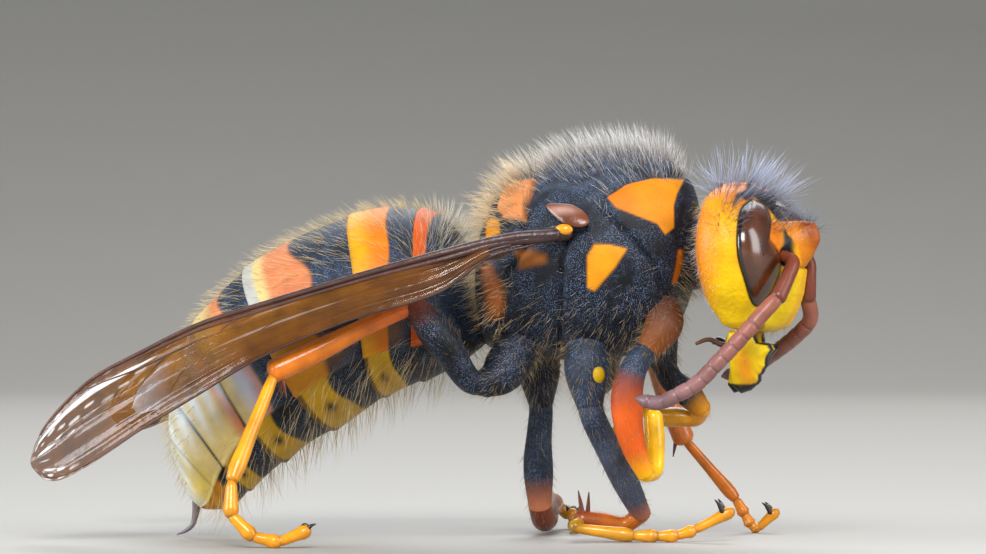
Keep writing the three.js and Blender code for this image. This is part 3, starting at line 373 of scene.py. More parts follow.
class Skin:
    """A surface as rows of points, with a colour for each point."""

    def __init__(self, grid, colour=(0.5, 0.5, 0.5), closed=True):
        self.grid = np.asarray(grid, float)
        self.closed = closed
        self.colour = np.broadcast_to(np.asarray(colour, float), self.grid.shape).copy()

    def across(self):
        if self.closed:
            return np.roll(self.grid, -1, axis=1) - np.roll(self.grid, 1, axis=1)
        return np.gradient(self.grid, axis=1)

    def lie(self):
        return unit(np.gradient(self.grid, axis=0))

    def normal(self):
        n = unit(np.cross(self.across(), np.gradient(self.grid, axis=0)))
        if self.closed:
            out = self.grid - self.grid.mean(axis=1, keepdims=True)
            if (n * out).sum() < 0:
                n = -n
        return n

    def raise_by(self, height):
        self.grid = self.grid + self.normal() * np.asarray(height)[..., None]
        return self

    def unwrap(self):
        rows, columns = self.grid.shape[:2]
        steps = np.arange(rows) / (rows - 1), np.arange(columns) / columns
        down, side = np.meshgrid(*steps, indexing="ij")
        return np.stack([side, down], axis=-1)

    def moved(self, change):
        return Skin(change(self.grid), self.colour, self.closed)

    def faces(self):
        rows, columns = self.grid.shape[:2]
        last = columns if self.closed else columns - 1
        i, j = np.meshgrid(np.arange(rows - 1), np.arange(last), indexing="ij")
        k = (j + 1) % columns
        near, far = i * columns, (i + 1) * columns
        quads = np.stack([near + j, near + k, far + k, far + j], -1).reshape(-1, 4)
        a, b, c = (self.grid.reshape(-1, 3)[quads[:, n]] for n in (0, 1, 2))
        face = np.cross(b - a, c - b)
        wanted = self.normal().reshape(-1, 3)[quads[:, 0]]
        return quads[:, ::-1] if (face * wanted).sum() < 0 else quads


def mirrored(skin):
    return skin.moved(lambda grid: grid * (1, -1, 1))


def tube(path, radii, sides=18):
    """A round limb along a path, closed by domes."""
    path = np.asarray(path, float)
    radii = np.asarray(radii, float)
    ahead = unit(np.gradient(path, axis=0))
    turns = np.radians([90, 65, 40, 18])
    first = [path[0] - ahead[0] * radii[0] * 0.7 * math.sin(t) for t in turns]
    last = [path[-1] + ahead[-1] * radii[-1] * 0.7 * math.sin(t) for t in turns[::-1]]
    path = np.vstack([first, path, last])
    ends = np.cos(turns)
    ends[0] = 0.01
    radii = np.concatenate([radii[0] * ends, radii, radii[-1] * ends[::-1]])
    ahead = np.vstack([[ahead[0]] * 4, ahead, [ahead[-1]] * 4])
    side = np.cross(ahead[0], (0.3, 0.2, 0.93))
    rings = []
    for centre, forward, radius in zip(path, ahead, radii):
        side = unit(side - forward * (side @ forward))
        up = np.cross(forward, side)
        turn = 2 * np.pi * np.arange(sides) / sides
        rings.append(centre + radius * (np.outer(np.cos(turn), side) + np.outer(np.sin(turn), up)))
    return np.array(rings)


def limb(line, radii, rows=22, sides=18):
    path = evenly(line, rows)
    swell = spline([(i, r) for i, r in enumerate(radii)], np.linspace(0, 1, rows))[:, 1]
    return tube(path, swell, sides)


def painted(grid, colours):
    """A limb with colours blended along its rows."""
    shares = np.linspace(0, len(colours) - 1, len(grid))
    table = np.asarray(colours, float)
    rows = np.stack([np.interp(shares, np.arange(len(table)), table[:, k]) for k in range(3)], axis=1)
    return Skin(grid, rows[:, None, :])


def ellipsoid(centre, radii, colour, rows=16, sides=24):
    polar = np.linspace(0.02, np.pi - 0.02, rows)
    turn = 2 * np.pi * np.arange(sides) / sides
    p, t = np.meshgrid(polar, turn, indexing="ij")
    ball = np.stack([np.sin(p) * np.cos(t), np.sin(p) * np.sin(t), np.cos(p)], axis=-1)
    return Skin(ball * radii + centre, colour)


def body_rings(sections, places, around, swell=0.0):
    """Rings of a body; place counts the sections, and the first point of a ring is its top."""
    s = np.asarray(sections, float)
    last = len(s) - 1
    top = spline(s[:, [0, 4, 1]], places / last)
    bottom = spline(s[:, [2, 4, 3]], places / last)
    middle = (top + bottom) / 2
    up = (top - bottom) / 2
    up[:, 1] = 0
    tall = np.linalg.norm(up, axis=1, keepdims=True)
    swell = np.broadcast_to(swell, (len(places), around))
    turn = 2 * np.pi * np.arange(around) / around
    grid = np.zeros((len(places), around, 3))
    grid[..., :] = middle[:, None, :] * (1, 0, 1)
    grid += (up / tall)[:, None, :] * ((tall + swell) * np.cos(turn))[..., None]
    grid[..., 1] = (top[:, 1:2] + swell) * np.sin(turn)
    return grid


def seen_from_side(grid, look=SIDE_LOOK, start=0.0):
    """Forward and up of places, as drawn in the outlines above, alike on both sides."""
    u = (grid[..., 0] - start) * math.cos(look) - np.abs(grid[..., 1]) * math.sin(look)
    return u, grid[..., 2]


# Pieces and the frame


def frame_offset():
    """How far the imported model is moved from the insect's own frame, in millimetres."""
    ring = body_rings(GASTER, np.array([float(GASTER_ENDS[2])]), 24, GASTER_STEP)
    low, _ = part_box("gaster_segment_3")
    side_low, side_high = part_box("mesothorax")
    return np.array([low.x * 1000 - ring[..., 0].min(), (side_low.y + side_high.y) * 500, 0.0])


OFFSET = frame_offset()


def make_mesh(name, points, faces, colours, unwrap, material):
    """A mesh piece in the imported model's frame, riding on it."""
    mesh = bpy.data.meshes.new(name)
    corners = faces.shape[1]
    mesh.vertices.add(len(points))
    mesh.vertices.foreach_set("co", ((points + OFFSET) * 0.001).astype(np.float32).ravel())
    mesh.loops.add(faces.size)
    mesh.loops.foreach_set("vertex_index", faces.astype(np.int32).ravel())
    mesh.polygons.add(len(faces))
    mesh.polygons.foreach_set("loop_start", np.arange(0, faces.size, corners, dtype=np.int32))
    paint = mesh.color_attributes.new("Paint", "FLOAT_COLOR", "POINT")
    rgba = np.concatenate([colours, np.ones((len(colours), 1))], axis=1)
    paint.data.foreach_set("color", rgba.astype(np.float32).ravel())
    if unwrap is not None:
        layer = mesh.uv_layers.new(name="OFBake")
        layer.data.foreach_set("uv", unwrap[faces.ravel()].astype(np.float32).ravel())
    mesh.update(calc_edges=True)
    mesh.validate()
    mesh.shade_smooth()
    mesh.materials.append(material)
    piece = bpy.data.objects.new(name, mesh)
    bpy.context.scene.collection.objects.link(piece)
    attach(piece, "root")
    return piece


def make_skin(name, skins, material, nodes):
    points, faces, colours = [], [], []
    count = 0
    for skin in skins:
        points.append(skin.grid.reshape(-1, 3))
        faces.append(skin.faces() + count)
        colours.append(skin.colour.reshape(-1, 3))
        count += points[-1].shape[0]
    piece = make_mesh(name, np.vstack(points), np.vstack(faces), np.vstack(colours), None, material)
    if nodes:
        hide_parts(*nodes)


# Materials


def set_inputs(node, values):
    for name, value in values.items():
        node.inputs[name.replace("_", " ")].default_value = value


def add_node(tree, kind, **values):
    """A new node with constants on its inputs."""
    made = tree.nodes.new("ShaderNode" + kind)
    set_inputs(made, values)
    return made


def new_material(name, **values):
    """A material and its shader, with constants on the shader's inputs."""
    material = bpy.data.materials.new(name)
    material.use_nodes = True
    shader = material.node_tree.nodes["Principled BSDF"]
    set_inputs(shader, values)
    return material, shader


def product(tree, a, b):
    made = tree.nodes.new("ShaderNodeMath")
    made.operation = "MULTIPLY"
    tree.links.new(a, made.inputs[0])
    tree.links.new(b, made.inputs[1])
    return made.outputs["Value"]


def paint_nodes(tree, noise, shade):
    """The painted colour made uneven by a noise: places, paint, noise and colour."""
    place = add_node(tree, "TexCoord").outputs["Object"]
    vertex = add_node(tree, "VertexColor")
    vertex.layer_name = "Paint"
    paint = vertex.outputs["Color"]
    uneven = add_node(tree, "TexNoise", **noise)
    tree.links.new(place, uneven.inputs["Vector"])
    share = uneven.outputs["Fac"]
    level = add_node(tree, "MapRange", **shade)
    tree.links.new(share, level.inputs["Value"])
    colour = add_node(tree, "Mix")
    colour.data_type = "RGBA"
    colour.blend_type = "MULTIPLY"
    colour.inputs["Factor"].default_value = 1
    tree.links.new(paint, colour.inputs["A"])
    tree.links.new(level.outputs["Result"], colour.inputs["B"])
    return place, paint, share, colour.outputs["Result"]


def shell_material(name, roughness, grain, relief, speckle=0.0, coat=0.0, mottle=0.15, alpha=1.0,
                   shine=0.5):
    """Horny shell: painted colour, mottled, with a fine grain and, on black, pale specks of down whose
    blue colour is a painted sheen.
    """
    material, shader = new_material(name, Roughness=roughness, Specular_IOR_Level=shine, Coat_Weight=coat,
                                    Coat_Roughness=0.12, Alpha=alpha)
    tree = material.node_tree
    shade = {"From_Min": 0.3, "From_Max": 0.7, "To_Min": 1 - mottle, "To_Max": 1 + mottle}
    place, paint, share, colour = paint_nodes(tree, {"Scale": 1400, "Detail": 6}, shade)
    pits = add_node(tree, "TexVoronoi", Scale=1000 / grain)
    tree.links.new(place, pits.inputs["Vector"])
    # Pale specks of down on black, coloured with a painted blue sheen
    if speckle:
        dots = add_node(tree, "MapRange", From_Min=0.4, From_Max=0.22, To_Max=speckle)
        tree.links.new(pits.outputs["Distance"], dots.inputs["Value"])
        uneven = add_node(tree, "MapRange", From_Min=0.34, From_Max=0.56)
        tree.links.new(share, uneven.inputs["Value"])
        parts = add_node(tree, "SeparateColor")
        tree.links.new(paint, parts.inputs["Color"])
        dark = add_node(tree, "MapRange", From_Min=0.15, From_Max=0.03)
        tree.links.new(parts.outputs["Red"], dark.inputs["Value"])
        sheen_specks = product(tree, dots.outputs["Result"], uneven.outputs["Result"])
        down = add_node(tree, "Mix")
        down.data_type = "RGBA"
        down.inputs["B"].default_value = (*DOWN_SHEEN_BLUE, 1)
        tree.links.new(product(tree, sheen_specks, dark.outputs["Result"]), down.inputs["Factor"])
        tree.links.new(colour, down.inputs["A"])
        colour = down.outputs["Result"]
    tree.links.new(colour, shader.inputs["Base Color"])
    bump = add_node(tree, "Bump", Strength=0.6, Distance=relief * 0.001)
    tree.links.new(pits.outputs["Distance"], bump.inputs["Height"])
    tree.links.new(bump.outputs["Normal"], shader.inputs["Normal"])
    return material


def hair_material():
    material, shader = new_material("hair", Roughness=0.38, Specular_IOR_Level=0.6)
    tree = material.node_tree
    colour = paint_nodes(tree, {"Scale": 9000}, {"To_Min": 0.7, "To_Max": 1.3})[-1]
    tree.links.new(colour, shader.inputs["Base Color"])
    return material


SHELL = shell_material("pitted_shell", 0.48, 0.046, 0.016, speckle=0.8, shine=0.2)
DOWNY = shell_material("downy_shell", 0.46, 0.046, 0.014, speckle=0.9, shine=0.2)
SATIN = shell_material("satin_shell", 0.36, 0.09, 0.008, mottle=0.25, shine=0.35)
FACE = shell_material("face_shell", 0.42, 0.13, 0.02, mottle=0.14, shine=0.25)
GLOSS = shell_material("gloss_shell", 0.3, 0.12, 0.008, coat=0.25, mottle=0.25, shine=0.35)
LENS = shell_material("eye_lens", 0.2, 0.04, 0.0003, mottle=0.3, shine=0.95)
WING = shell_material("wing_membrane", 0.16, 0.3, 0.02, coat=0.25, mottle=0.35, alpha=0.6, shine=0.35)
VEIN = shell_material("wing_vein", 0.38, 0.1, 0.02, mottle=0.3)
HAIR = hair_material()


# Hair


def take(values, rows, columns, s, t, closed):
    """Values between the points of a grid."""
    count = values.shape[1]
    beside = (columns + 1) % count if closed else columns + 1
    s, t = s[:, None], t[:, None]
    near = values[rows, columns] * (1 - t) + values[rows, beside] * t
    far = values[rows + 1, columns] * (1 - t) + values[rows + 1, beside] * t
    return near * (1 - s) + far * s


def hairs(skin, density, length, radius, lift, sweep, root, tip, seed, rings=2, stray=0.13):
    """Tapered hairs on a skin, each leaning along its lie, as points, faces, colours and unwrap."""
    random = np.random.default_rng(seed)
    rows, columns = skin.grid.shape[:2]
    last = columns if skin.closed else columns - 1
    g = skin.grid
    beside = np.roll(g, -1, axis=1)
    area = np.linalg.norm(np.cross(beside[:-1] - g[:-1], g[1:] - g[:-1]), axis=-1)[:, :last]
    shape = (rows, columns)
    density = np.broadcast_to(density, shape)
    weight = area * density[:-1, :last]
    total = int(weight.sum())
    if total < 1:
        return None
    cell = random.choice(weight.size, size=total, p=weight.ravel() / weight.sum())
    r, c = np.unravel_index(cell, weight.shape)
    s, t = random.random(total), random.random(total)

    def at(values):
        return take(values, r, c, s, t, skin.closed)

    def spread(value):
        return at(np.broadcast_to(value, shape)[..., None])[:, 0]

    start = at(g)
    normal = unit(at(skin.normal()))
    lie = unit(at(skin.lie()))
    unwrap = at(skin.unwrap())
    reach = spread(length) * random.uniform(0.6, 1.15, total)
    stand = spread(lift)[:, None]
    jitter = random.normal(0, stray, (total, 3))
    heading = unit(normal * stand + lie * (1 - stand) + jitter)
    bend = unit(lie + np.asarray(sweep)) * 0.35 + random.normal(0, 0.1, (total, 3))
    side = unit(np.cross(heading, random.normal(0, 1, (total, 3))))
    up = np.cross(heading, side)
    steps = np.linspace(0, 1, rings + 1)
    root_colour = at(flat(root, g.shape))
    tip_colour = at(flat(tip, g.shape))
    layers, colours, places = [], [], []
    for step in steps:
        centre = start - normal * 0.03 + reach[:, None] * (heading * step + bend * step**2 * 0.5)
        thick = spread(radius) * (1 - step) ** 0.7
        sides = range(3) if step < 1 else [0]
        for k in sides:
            turn = 2 * math.pi * k / 3
            point = centre + thick[:, None] * (side * math.cos(turn) + up * math.sin(turn))
            layers.append(point)
            colours.append(root_colour + (tip_colour - root_colour) * min(step * 1.4, 1))
            places.append(unwrap + np.array([0.0012 * (k - 1), 0.0028 * (step - 0.5)]))
    each = len(layers)
    faces = []
    for ring in range(rings - 1):
        for k in range(3):
            a, b = ring * 3 + k, ring * 3 + (k + 1) % 3
            faces += [(a, b, b + 3), (a, b + 3, a + 3)]
    top = (rings - 1) * 3
    faces += [(top + k, top + (k + 1) % 3, each - 1) for k in range(3)]
    points = np.stack(layers, axis=1).reshape(-1, 3)
    corners = (np.array(faces)[None] + (np.arange(total) * each)[:, None, None]).reshape(-1, 3)
    colours = np.stack(colours, axis=1).reshape(-1, 3)
    return points, corners, colours, np.stack(places, axis=1).reshape(-1, 2)


def make_coat(name, parts):
    parts = [p for p in parts if p is not None]
    count, faces = 0, []
    for part in parts:
        faces.append(part[1] + count)
        count += len(part[0])
    points, colours, unwrap = (np.vstack([p[k] for p in parts]) for k in (0, 2, 3))
    points[:, 2] = np.maximum(points[:, 2], HAIR_ABOVE_FLOOR)
    piece = make_mesh(name, points, np.vstack(faces), np.clip(colours, 0, 1), unwrap % 1.0, HAIR)


# Thorax


def make_thorax():
    places = np.linspace(0, 9, 230)
    grid = body_rings(THORAX, places, 300)
    front = [grid[0].mean(axis=0) + (grid[0] - grid[0].mean(axis=0)) * k + (0.12 * (1 - k), 0, 0)
             for k in (0.01, 0.4, 0.7, 0.9)]
    rear = [grid[-1].mean(axis=0) + (grid[-1] - grid[-1].mean(axis=0)) * k for k in (0.9, 0.6, 0.3)]
    grid = np.concatenate([front, grid, rear])
    skin = Skin(grid)
    u, z = seen_from_side(grid)
    height = np.zeros(grid.shape[:2])
    for suture in THORAX_SUTURES:
        near = line_distance(u, z, suture)
        height -= 0.15 * np.exp(-((near / 0.06) ** 2)) + 0.05 * np.exp(-((near / 0.2) ** 2))
    height += 0.03 * np.exp(-((line_distance(u, z, PARAPSIDAL_LINE) / 0.04) ** 2))
    height += 0.08 * patch(u, z, SCUTELLUM_PATCH, 0.1)
    height += 0.1 * patch(u, z, PLEURON, 0.25)
    skin.raise_by(height)
    colour = flat(BLACK, grid.shape)
    # Painted sheen: lighter blue-grey streaks on the upper thorax, where the down catches the light from
    # above
    top_sheen = soft_step(z, 12.2, 1.6) * (1 - soft_step(u, 6.2, 0.6))
    streaks = 0.7 + 0.3 * np.sin(np.abs(grid[..., 1]) * 14 + 2 * np.sin(grid[..., 0] * 3))
    colour = blend(colour, (0.040, 0.048, 0.065), top_sheen * streaks)
    along_patch = np.clip((u - 4.0) / 2.6, 0, 1)
    patch_colour = blend(flat(np.array(ORANGE) * 0.9, grid.shape), GOLD, along_patch)
    for outline, paint, soft in (
        (PRONOTUM_PATCH, patch_colour, 0.04),
        (PLEURAL_SPOT, GOLD, 0.05),
        (WING_BASE_BLOTCH, (0.34, 0.10, 0.008), 0.18),
        (PROPODEUM_PATCH, (0.34, 0.095, 0.022), 0.22),
        (SCUTELLUM_PATCH, (0.52, 0.18, 0.055), 0.1),
        (METANOTUM_PATCH, GOLD, 0.05),
        (COLLAR_STRIP, np.array(ORANGE) * 0.8, 0.05),
    ):
        colour = blend(colour, paint, patch(u, z, outline, soft))
    skin.colour = colour
    make_skin("thorax_skin", [skin], SHELL,
              ["pronotum", "mesothorax", "scutellum", "propodeum"])
    return skin


def thorax_coat(skin):
    g = skin.grid
    u, z = seen_from_side(g)
    n = skin.normal()
    top = soft_step(n[..., 2], 0.72, 0.4) * soft_step(z, 11.0, 0.8)
    length = 0.35 + 0.72 * top
    pale = np.array((0.66, 0.63, 0.60))
    golden = np.array((0.74, 0.52, 0.26))
    rearward = np.clip(1 - (u - 0.0) / 3.0, 0, 1)
    tip = blend(flat(pale, g.shape), golden, rearward * 0.6)
    dark = np.array((0.10, 0.07, 0.055))
    root = flat(dark, g.shape)
    # Short side down: real hairs, with a blue tint added to their tips as painted sheen
    sides = hairs(skin, 26 * (1 - top), 0.13, 0.0038, 0.4, (0, 0, -0.2), skin.colour * 0.8 + 0.01,
                  skin.colour * 0.6 + np.array((0.035, 0.045, 0.07)), 11)
    pile = hairs(skin, 62 * top + 1, length, 0.0085, 0.86, (-0.3, 0, 0.1), root, tip, 12, rings=3)
    edge = patch(u, z, SCUTELLUM_PATCH, 0.3) + soft_step(-u, -1.2, 0.6) * soft_step(z, 11.0, 0.6)
    rear = hairs(skin, 32 * np.clip(edge, 0, 1), 1.1, 0.009, 0.8, (-0.3, 0, 0.3), golden * 0.5,
                 golden * 1.05, 14, rings=3)
    hollow = soft_step(-u, -0.6, 0.6) * soft_step(z, 7.6, 0.6) * (1 - soft_step(z, 11.2, 0.6))
    waist = hairs(skin, 30 * hollow, 0.6, 0.008, 0.8, (-0.2, 0, 0.1), golden * 0.5, golden, 15, rings=3)
    below = soft_step(-n[..., 2], 0.35, 0.4)
    chest = hairs(skin, 14 * below, 0.6, 0.006, 0.75, (0.2, 0, -0.3), golden * 0.25, golden * 0.6, 13)
    make_coat("thorax_hair", [sides, pile, rear, waist, chest])


# Gaster


def gaster_colour(share, turn, segment):
    """Bands of one segment: share of its length, and turn from the top."""

    def band(edge, width):
        return soft_step(share, edge, width)

    wave = 0.04 * np.sin(turn * 3.1 + segment) + 0.02 * np.sin(turn * 7.3)
    colour = flat(BLUE_BLACK, share.shape)
    if segment == 0:
        colour = blend(colour, DEEP_ORANGE, band(0.885 + wave * 0.2, 0.025))
    elif segment == 1:
        colour = blend(colour, ORANGE, band(0.47 + wave, 0.05))
        colour = blend(colour, (0.62, 0.26, 0.003), band(0.75, 0.3))
        colour = blend(colour, OCHRE, band(0.97, 0.03))
    elif segment == 2:
        colour = blend(colour, SALMON, band(0.5 + 1.6 * wave, 0.05))
        colour = blend(colour, PALE_YELLOW, band(0.8, 0.1))
        aside = 1 - soft_step(np.abs(turn), 1.6, 0.4)
        colour = blend(colour, GREY, band(0.9, 0.06) * aside * 0.8)
        colour = blend(colour, (0.50, 0.20, 0.008), band(0.5, 0.1) * (1 - aside))
    elif segment == 3:
        colour = blend(colour, SALMON, band(0.4 + wave, 0.08))
        colour = blend(colour, PALE_YELLOW, band(0.66, 0.3))
        # Painted highlight: a blue-white patch of rim light on the side of the fourth segment
        rim_highlight = np.exp(-(((share - 0.62) / 0.2) ** 2 + ((np.abs(turn) - 1.75) / 0.35) ** 2))
        colour = blend(colour, (0.42, 0.52, 0.66), rim_highlight * 0.8)
        colour = blend(colour, DARK_BROWN, band(0.975, 0.03) * 0.6)
    elif segment == 4:
        colour = blend(colour, SALMON, band(0.1 + wave, 0.08))
        colour = blend(colour, (0.62, 0.46, 0.16), band(0.25, 0.3))
        # Painted highlight: streaky blue-white rim light over the top of the fifth segment
        rim_highlight = (1 - soft_step(np.abs(turn), 1.7, 0.8)) * (0.65 + 0.35 * np.sin(share * 19 + turn * 4))
        colour = blend(colour, (0.66, 0.72, 0.78), rim_highlight * 0.8)
        colour = blend(colour, DARK_BROWN, band(0.965, 0.03) * 0.4)
    else:
        colour = blend(colour, PALE_YELLOW, band(0.03, 0.04))
        colour = blend(colour, (0.62, 0.44, 0.06), band(0.25, 0.4) * 0.7)
        # Painted highlight: streaky blue-white rim light over the top of the last segment
        rim_highlight = (1 - soft_step(np.abs(turn), 1.5, 0.8)) * (0.7 + 0.3 * np.sin(share * 23 + turn * 5))
        colour = blend(colour, (0.68, 0.72, 0.74), rim_highlight * 0.8)
        colour = blend(colour, (0.60, 0.58, 0.50), band(0.75, 0.3) * 0.7)
        colour = blend(colour, DARK_BROWN, np.exp(-(((share - 0.34) / 0.02) ** 2)) * 0.3)
    side = np.exp(-(((np.abs(turn) - 1.95) / 0.22) ** 2)) * band(0.2, 0.3)
    colour = blend(colour, (0.34, 0.14, 0.01), side * 0.3 * (segment in (1, 2)))
    under = soft_step(np.abs(turn), BELLY_TURN, 0.05)
    ochre = band(0.46 + wave * 1.8, 0.07) * (segment > 0)
    plate = blend(flat(BLACK, share.shape), (0.46, 0.26, 0.008), ochre)
    spots = np.exp(-(((share - 0.7) / 0.08) ** 2 + ((np.abs(turn) - 2.6) / 0.1) ** 2))
    plate = blend(plate, DARK_BROWN, np.maximum(spots, band(0.93, 0.05) * 0.8))
    if segment == 5:
        plate = blend(plate, YELLOW_ORANGE, 0.7 * band(0.2, 0.1))
    return blend(colour, plate, under)


def make_gaster():
    around = 300
    turn = (2 * np.pi * np.arange(around) / around + np.pi) % (2 * np.pi) - np.pi
    steps = np.linspace(0, 15, 1501)
    whole = body_rings(GASTER, steps, around)
    axis = whole.mean(axis=1)
    skins = []
    for segment, end in enumerate(GASTER_ENDS):
        start = GASTER_ENDS[segment - 1] if segment else 0.0
        final = segment == len(GASTER_ENDS) - 1
        bowed = np.sin(turn) ** 2
        first = start - (GASTER_BOWS[segment - 1] if segment else 0) * bowed
        last = end - GASTER_BOWS[segment] * bowed
        tuck = 0.35 / (end - start) if segment else 0.0
        share = np.linspace(-tuck, 1, int(34 * (end - start)) + 14)
        sunk = np.zeros(len(share))
        if final:
            share = np.concatenate([share, [1, 1, 1]])
            sunk = np.concatenate([sunk, [0.08, 0.2, 0.32]])
        else:
            share = np.concatenate([share, [1.01, 1, 0.98]])
            sunk = np.concatenate([sunk, [0.03, 0.09, 0.17]])
        place = np.clip(first + share[:, None] * (last - first), 0, 15)
        row = np.minimum((place * 100).astype(int), 1499)
        part = (place * 100 - row)[..., None]
        column = np.broadcast_to(np.arange(around), row.shape)
        grid = whole[row, column] * (1 - part) + whole[row + 1, column] * part
        outward = unit(grid - axis[row])
        inside = np.clip(share, 0, 1)[:, None]
        relief = (0 if final else GASTER_STEP) * inside**3
        if segment:
            relief = relief - 0.16 * (1 - soft_step(share * (end - start), -0.05, 0.3))[:, None]
        under = soft_step(np.abs(turn), BELLY_TURN, 0.03)
        fold = 0.05 * np.exp(-(((np.abs(turn) - BELLY_FOLD) / 0.04) ** 2))
        relief = relief - (0.07 * under - fold) * soft_step(place, 0.5, 0.6) - sunk[:, None]
        skin = Skin(grid + outward * relief[..., None])
        skin.turn = np.broadcast_to(turn, place.shape)
        skin.place = place
        skin.shown = np.broadcast_to((share > 0.0) & (share < 0.999), (around, len(share))).T
        skin.colour = gaster_colour(np.broadcast_to(inside, place.shape), skin.turn, segment)
        skins.append(skin)
        make_skin(f"gaster_plate_{segment + 1}", [skin], DOWNY,
                  [f"gaster_segment_{segment + 1}"])
    return skins


def gaster_coat(skins):
    upper, lower = [], []
    golden = np.array((0.70, 0.52, 0.24))
    white = np.array((0.74, 0.70, 0.58))
    for i, skin in enumerate(skins):
        shown = skin.shown.astype(float)
        back = soft_step(np.cos(skin.turn), 0.25, 0.7)
        under = soft_step(np.abs(skin.turn), BELLY_HAIR, 0.3)
        front = 1 - soft_step(skin.place, 2.9, 1.2)
        tip = blend(flat(golden, skin.grid.shape), white, front)
        stand = 0.55 + 0.3 * front
        upper.append(hairs(skin, (17 + 24 * front) * shown * back, 0.58 + 0.46 * front, 0.0085, stand,
                           (-0.2, 0, 0.25), golden * 0.45, tip, 31 + i, rings=3))
        side = (1 - back) * (1 - under)
        # Short side down on black: real hairs, with a blue tint added to their tips as painted sheen
        dark = np.array((0.04, 0.055, 0.09)) * (skin.colour[..., :1] < 0.1)
        upper.append(hairs(skin, 34 * shown * side, 0.13, 0.0038, 0.3, (0, 0, -0.1), skin.colour * 0.8,
                           skin.colour * 0.85 + dark + 0.01, 41 + i))
        lower.append(hairs(skin, 9 * shown * under, 1.25, 0.0085, 0.62, (-0.1, 0, -0.6), golden * 0.5,
                           golden, 51 + i, rings=3))
    make_coat("gaster_back_hair", upper)
    make_coat("gaster_belly_hair", lower)


# Head


EYE_LINE = [tuple(p) for p in spline(EYE + [EYE[0]], np.linspace(0, 1, 60))]


def head_values(z):
    fine = spline(np.asarray(HEAD)[::-1], np.linspace(0, 1, 3000))
    return np.array([np.interp(z, fine[:, 0], fine[:, k]) for k in (1, 2, 3)])


def head_rings(z, around=340):
    front, back, half = head_values(z)
    centre, deep = (front + back) / 2, (front - back) / 2
    turn = 2 * np.pi * np.arange(around) / around
    along = np.cos(turn)[None, :]
    y = half[:, None] * np.sin(turn)
    hollow = 0.5 * np.exp(-((y / 1.5) ** 2)) * np.maximum(-along, 0)
    reach = np.where(along > 0, along, -(np.abs(along) ** 0.62))
    x = centre[:, None] + deep[:, None] * reach + hollow
    return np.stack([x, y, np.broadcast_to(z[:, None], x.shape)], axis=-1)


def turned(grid):
    """From the head's own frame to the body's."""
    x, y = grid[..., 0] - NECK_PIVOT, grid[..., 1]
    c, s = math.cos(HEAD_TURN), math.sin(HEAD_TURN)
    return np.stack([NECK_PIVOT + x * c - y * s, x * s + y * c, grid[..., 2]], axis=-1)


def face_place(u, z):
    """The place on the right of the head's surface at u and z, as the eye's outline is drawn."""
    front, back, half = head_values(z)
    centre = (front + back) / 2
    deep = (front - back) / 2
    c, s = math.cos(EYE_LOOK), math.sin(EYE_LOOK)
    reach = np.hypot(deep * c, half * s)
    lean = np.arctan2(half * s, deep * c)
    turn = np.arccos(np.clip((u - (centre - NECK_PIVOT) * c) / reach, -1, 1)) - lean
    return np.stack([centre + deep * np.cos(turn), -half * np.sin(turn), z], axis=-1)


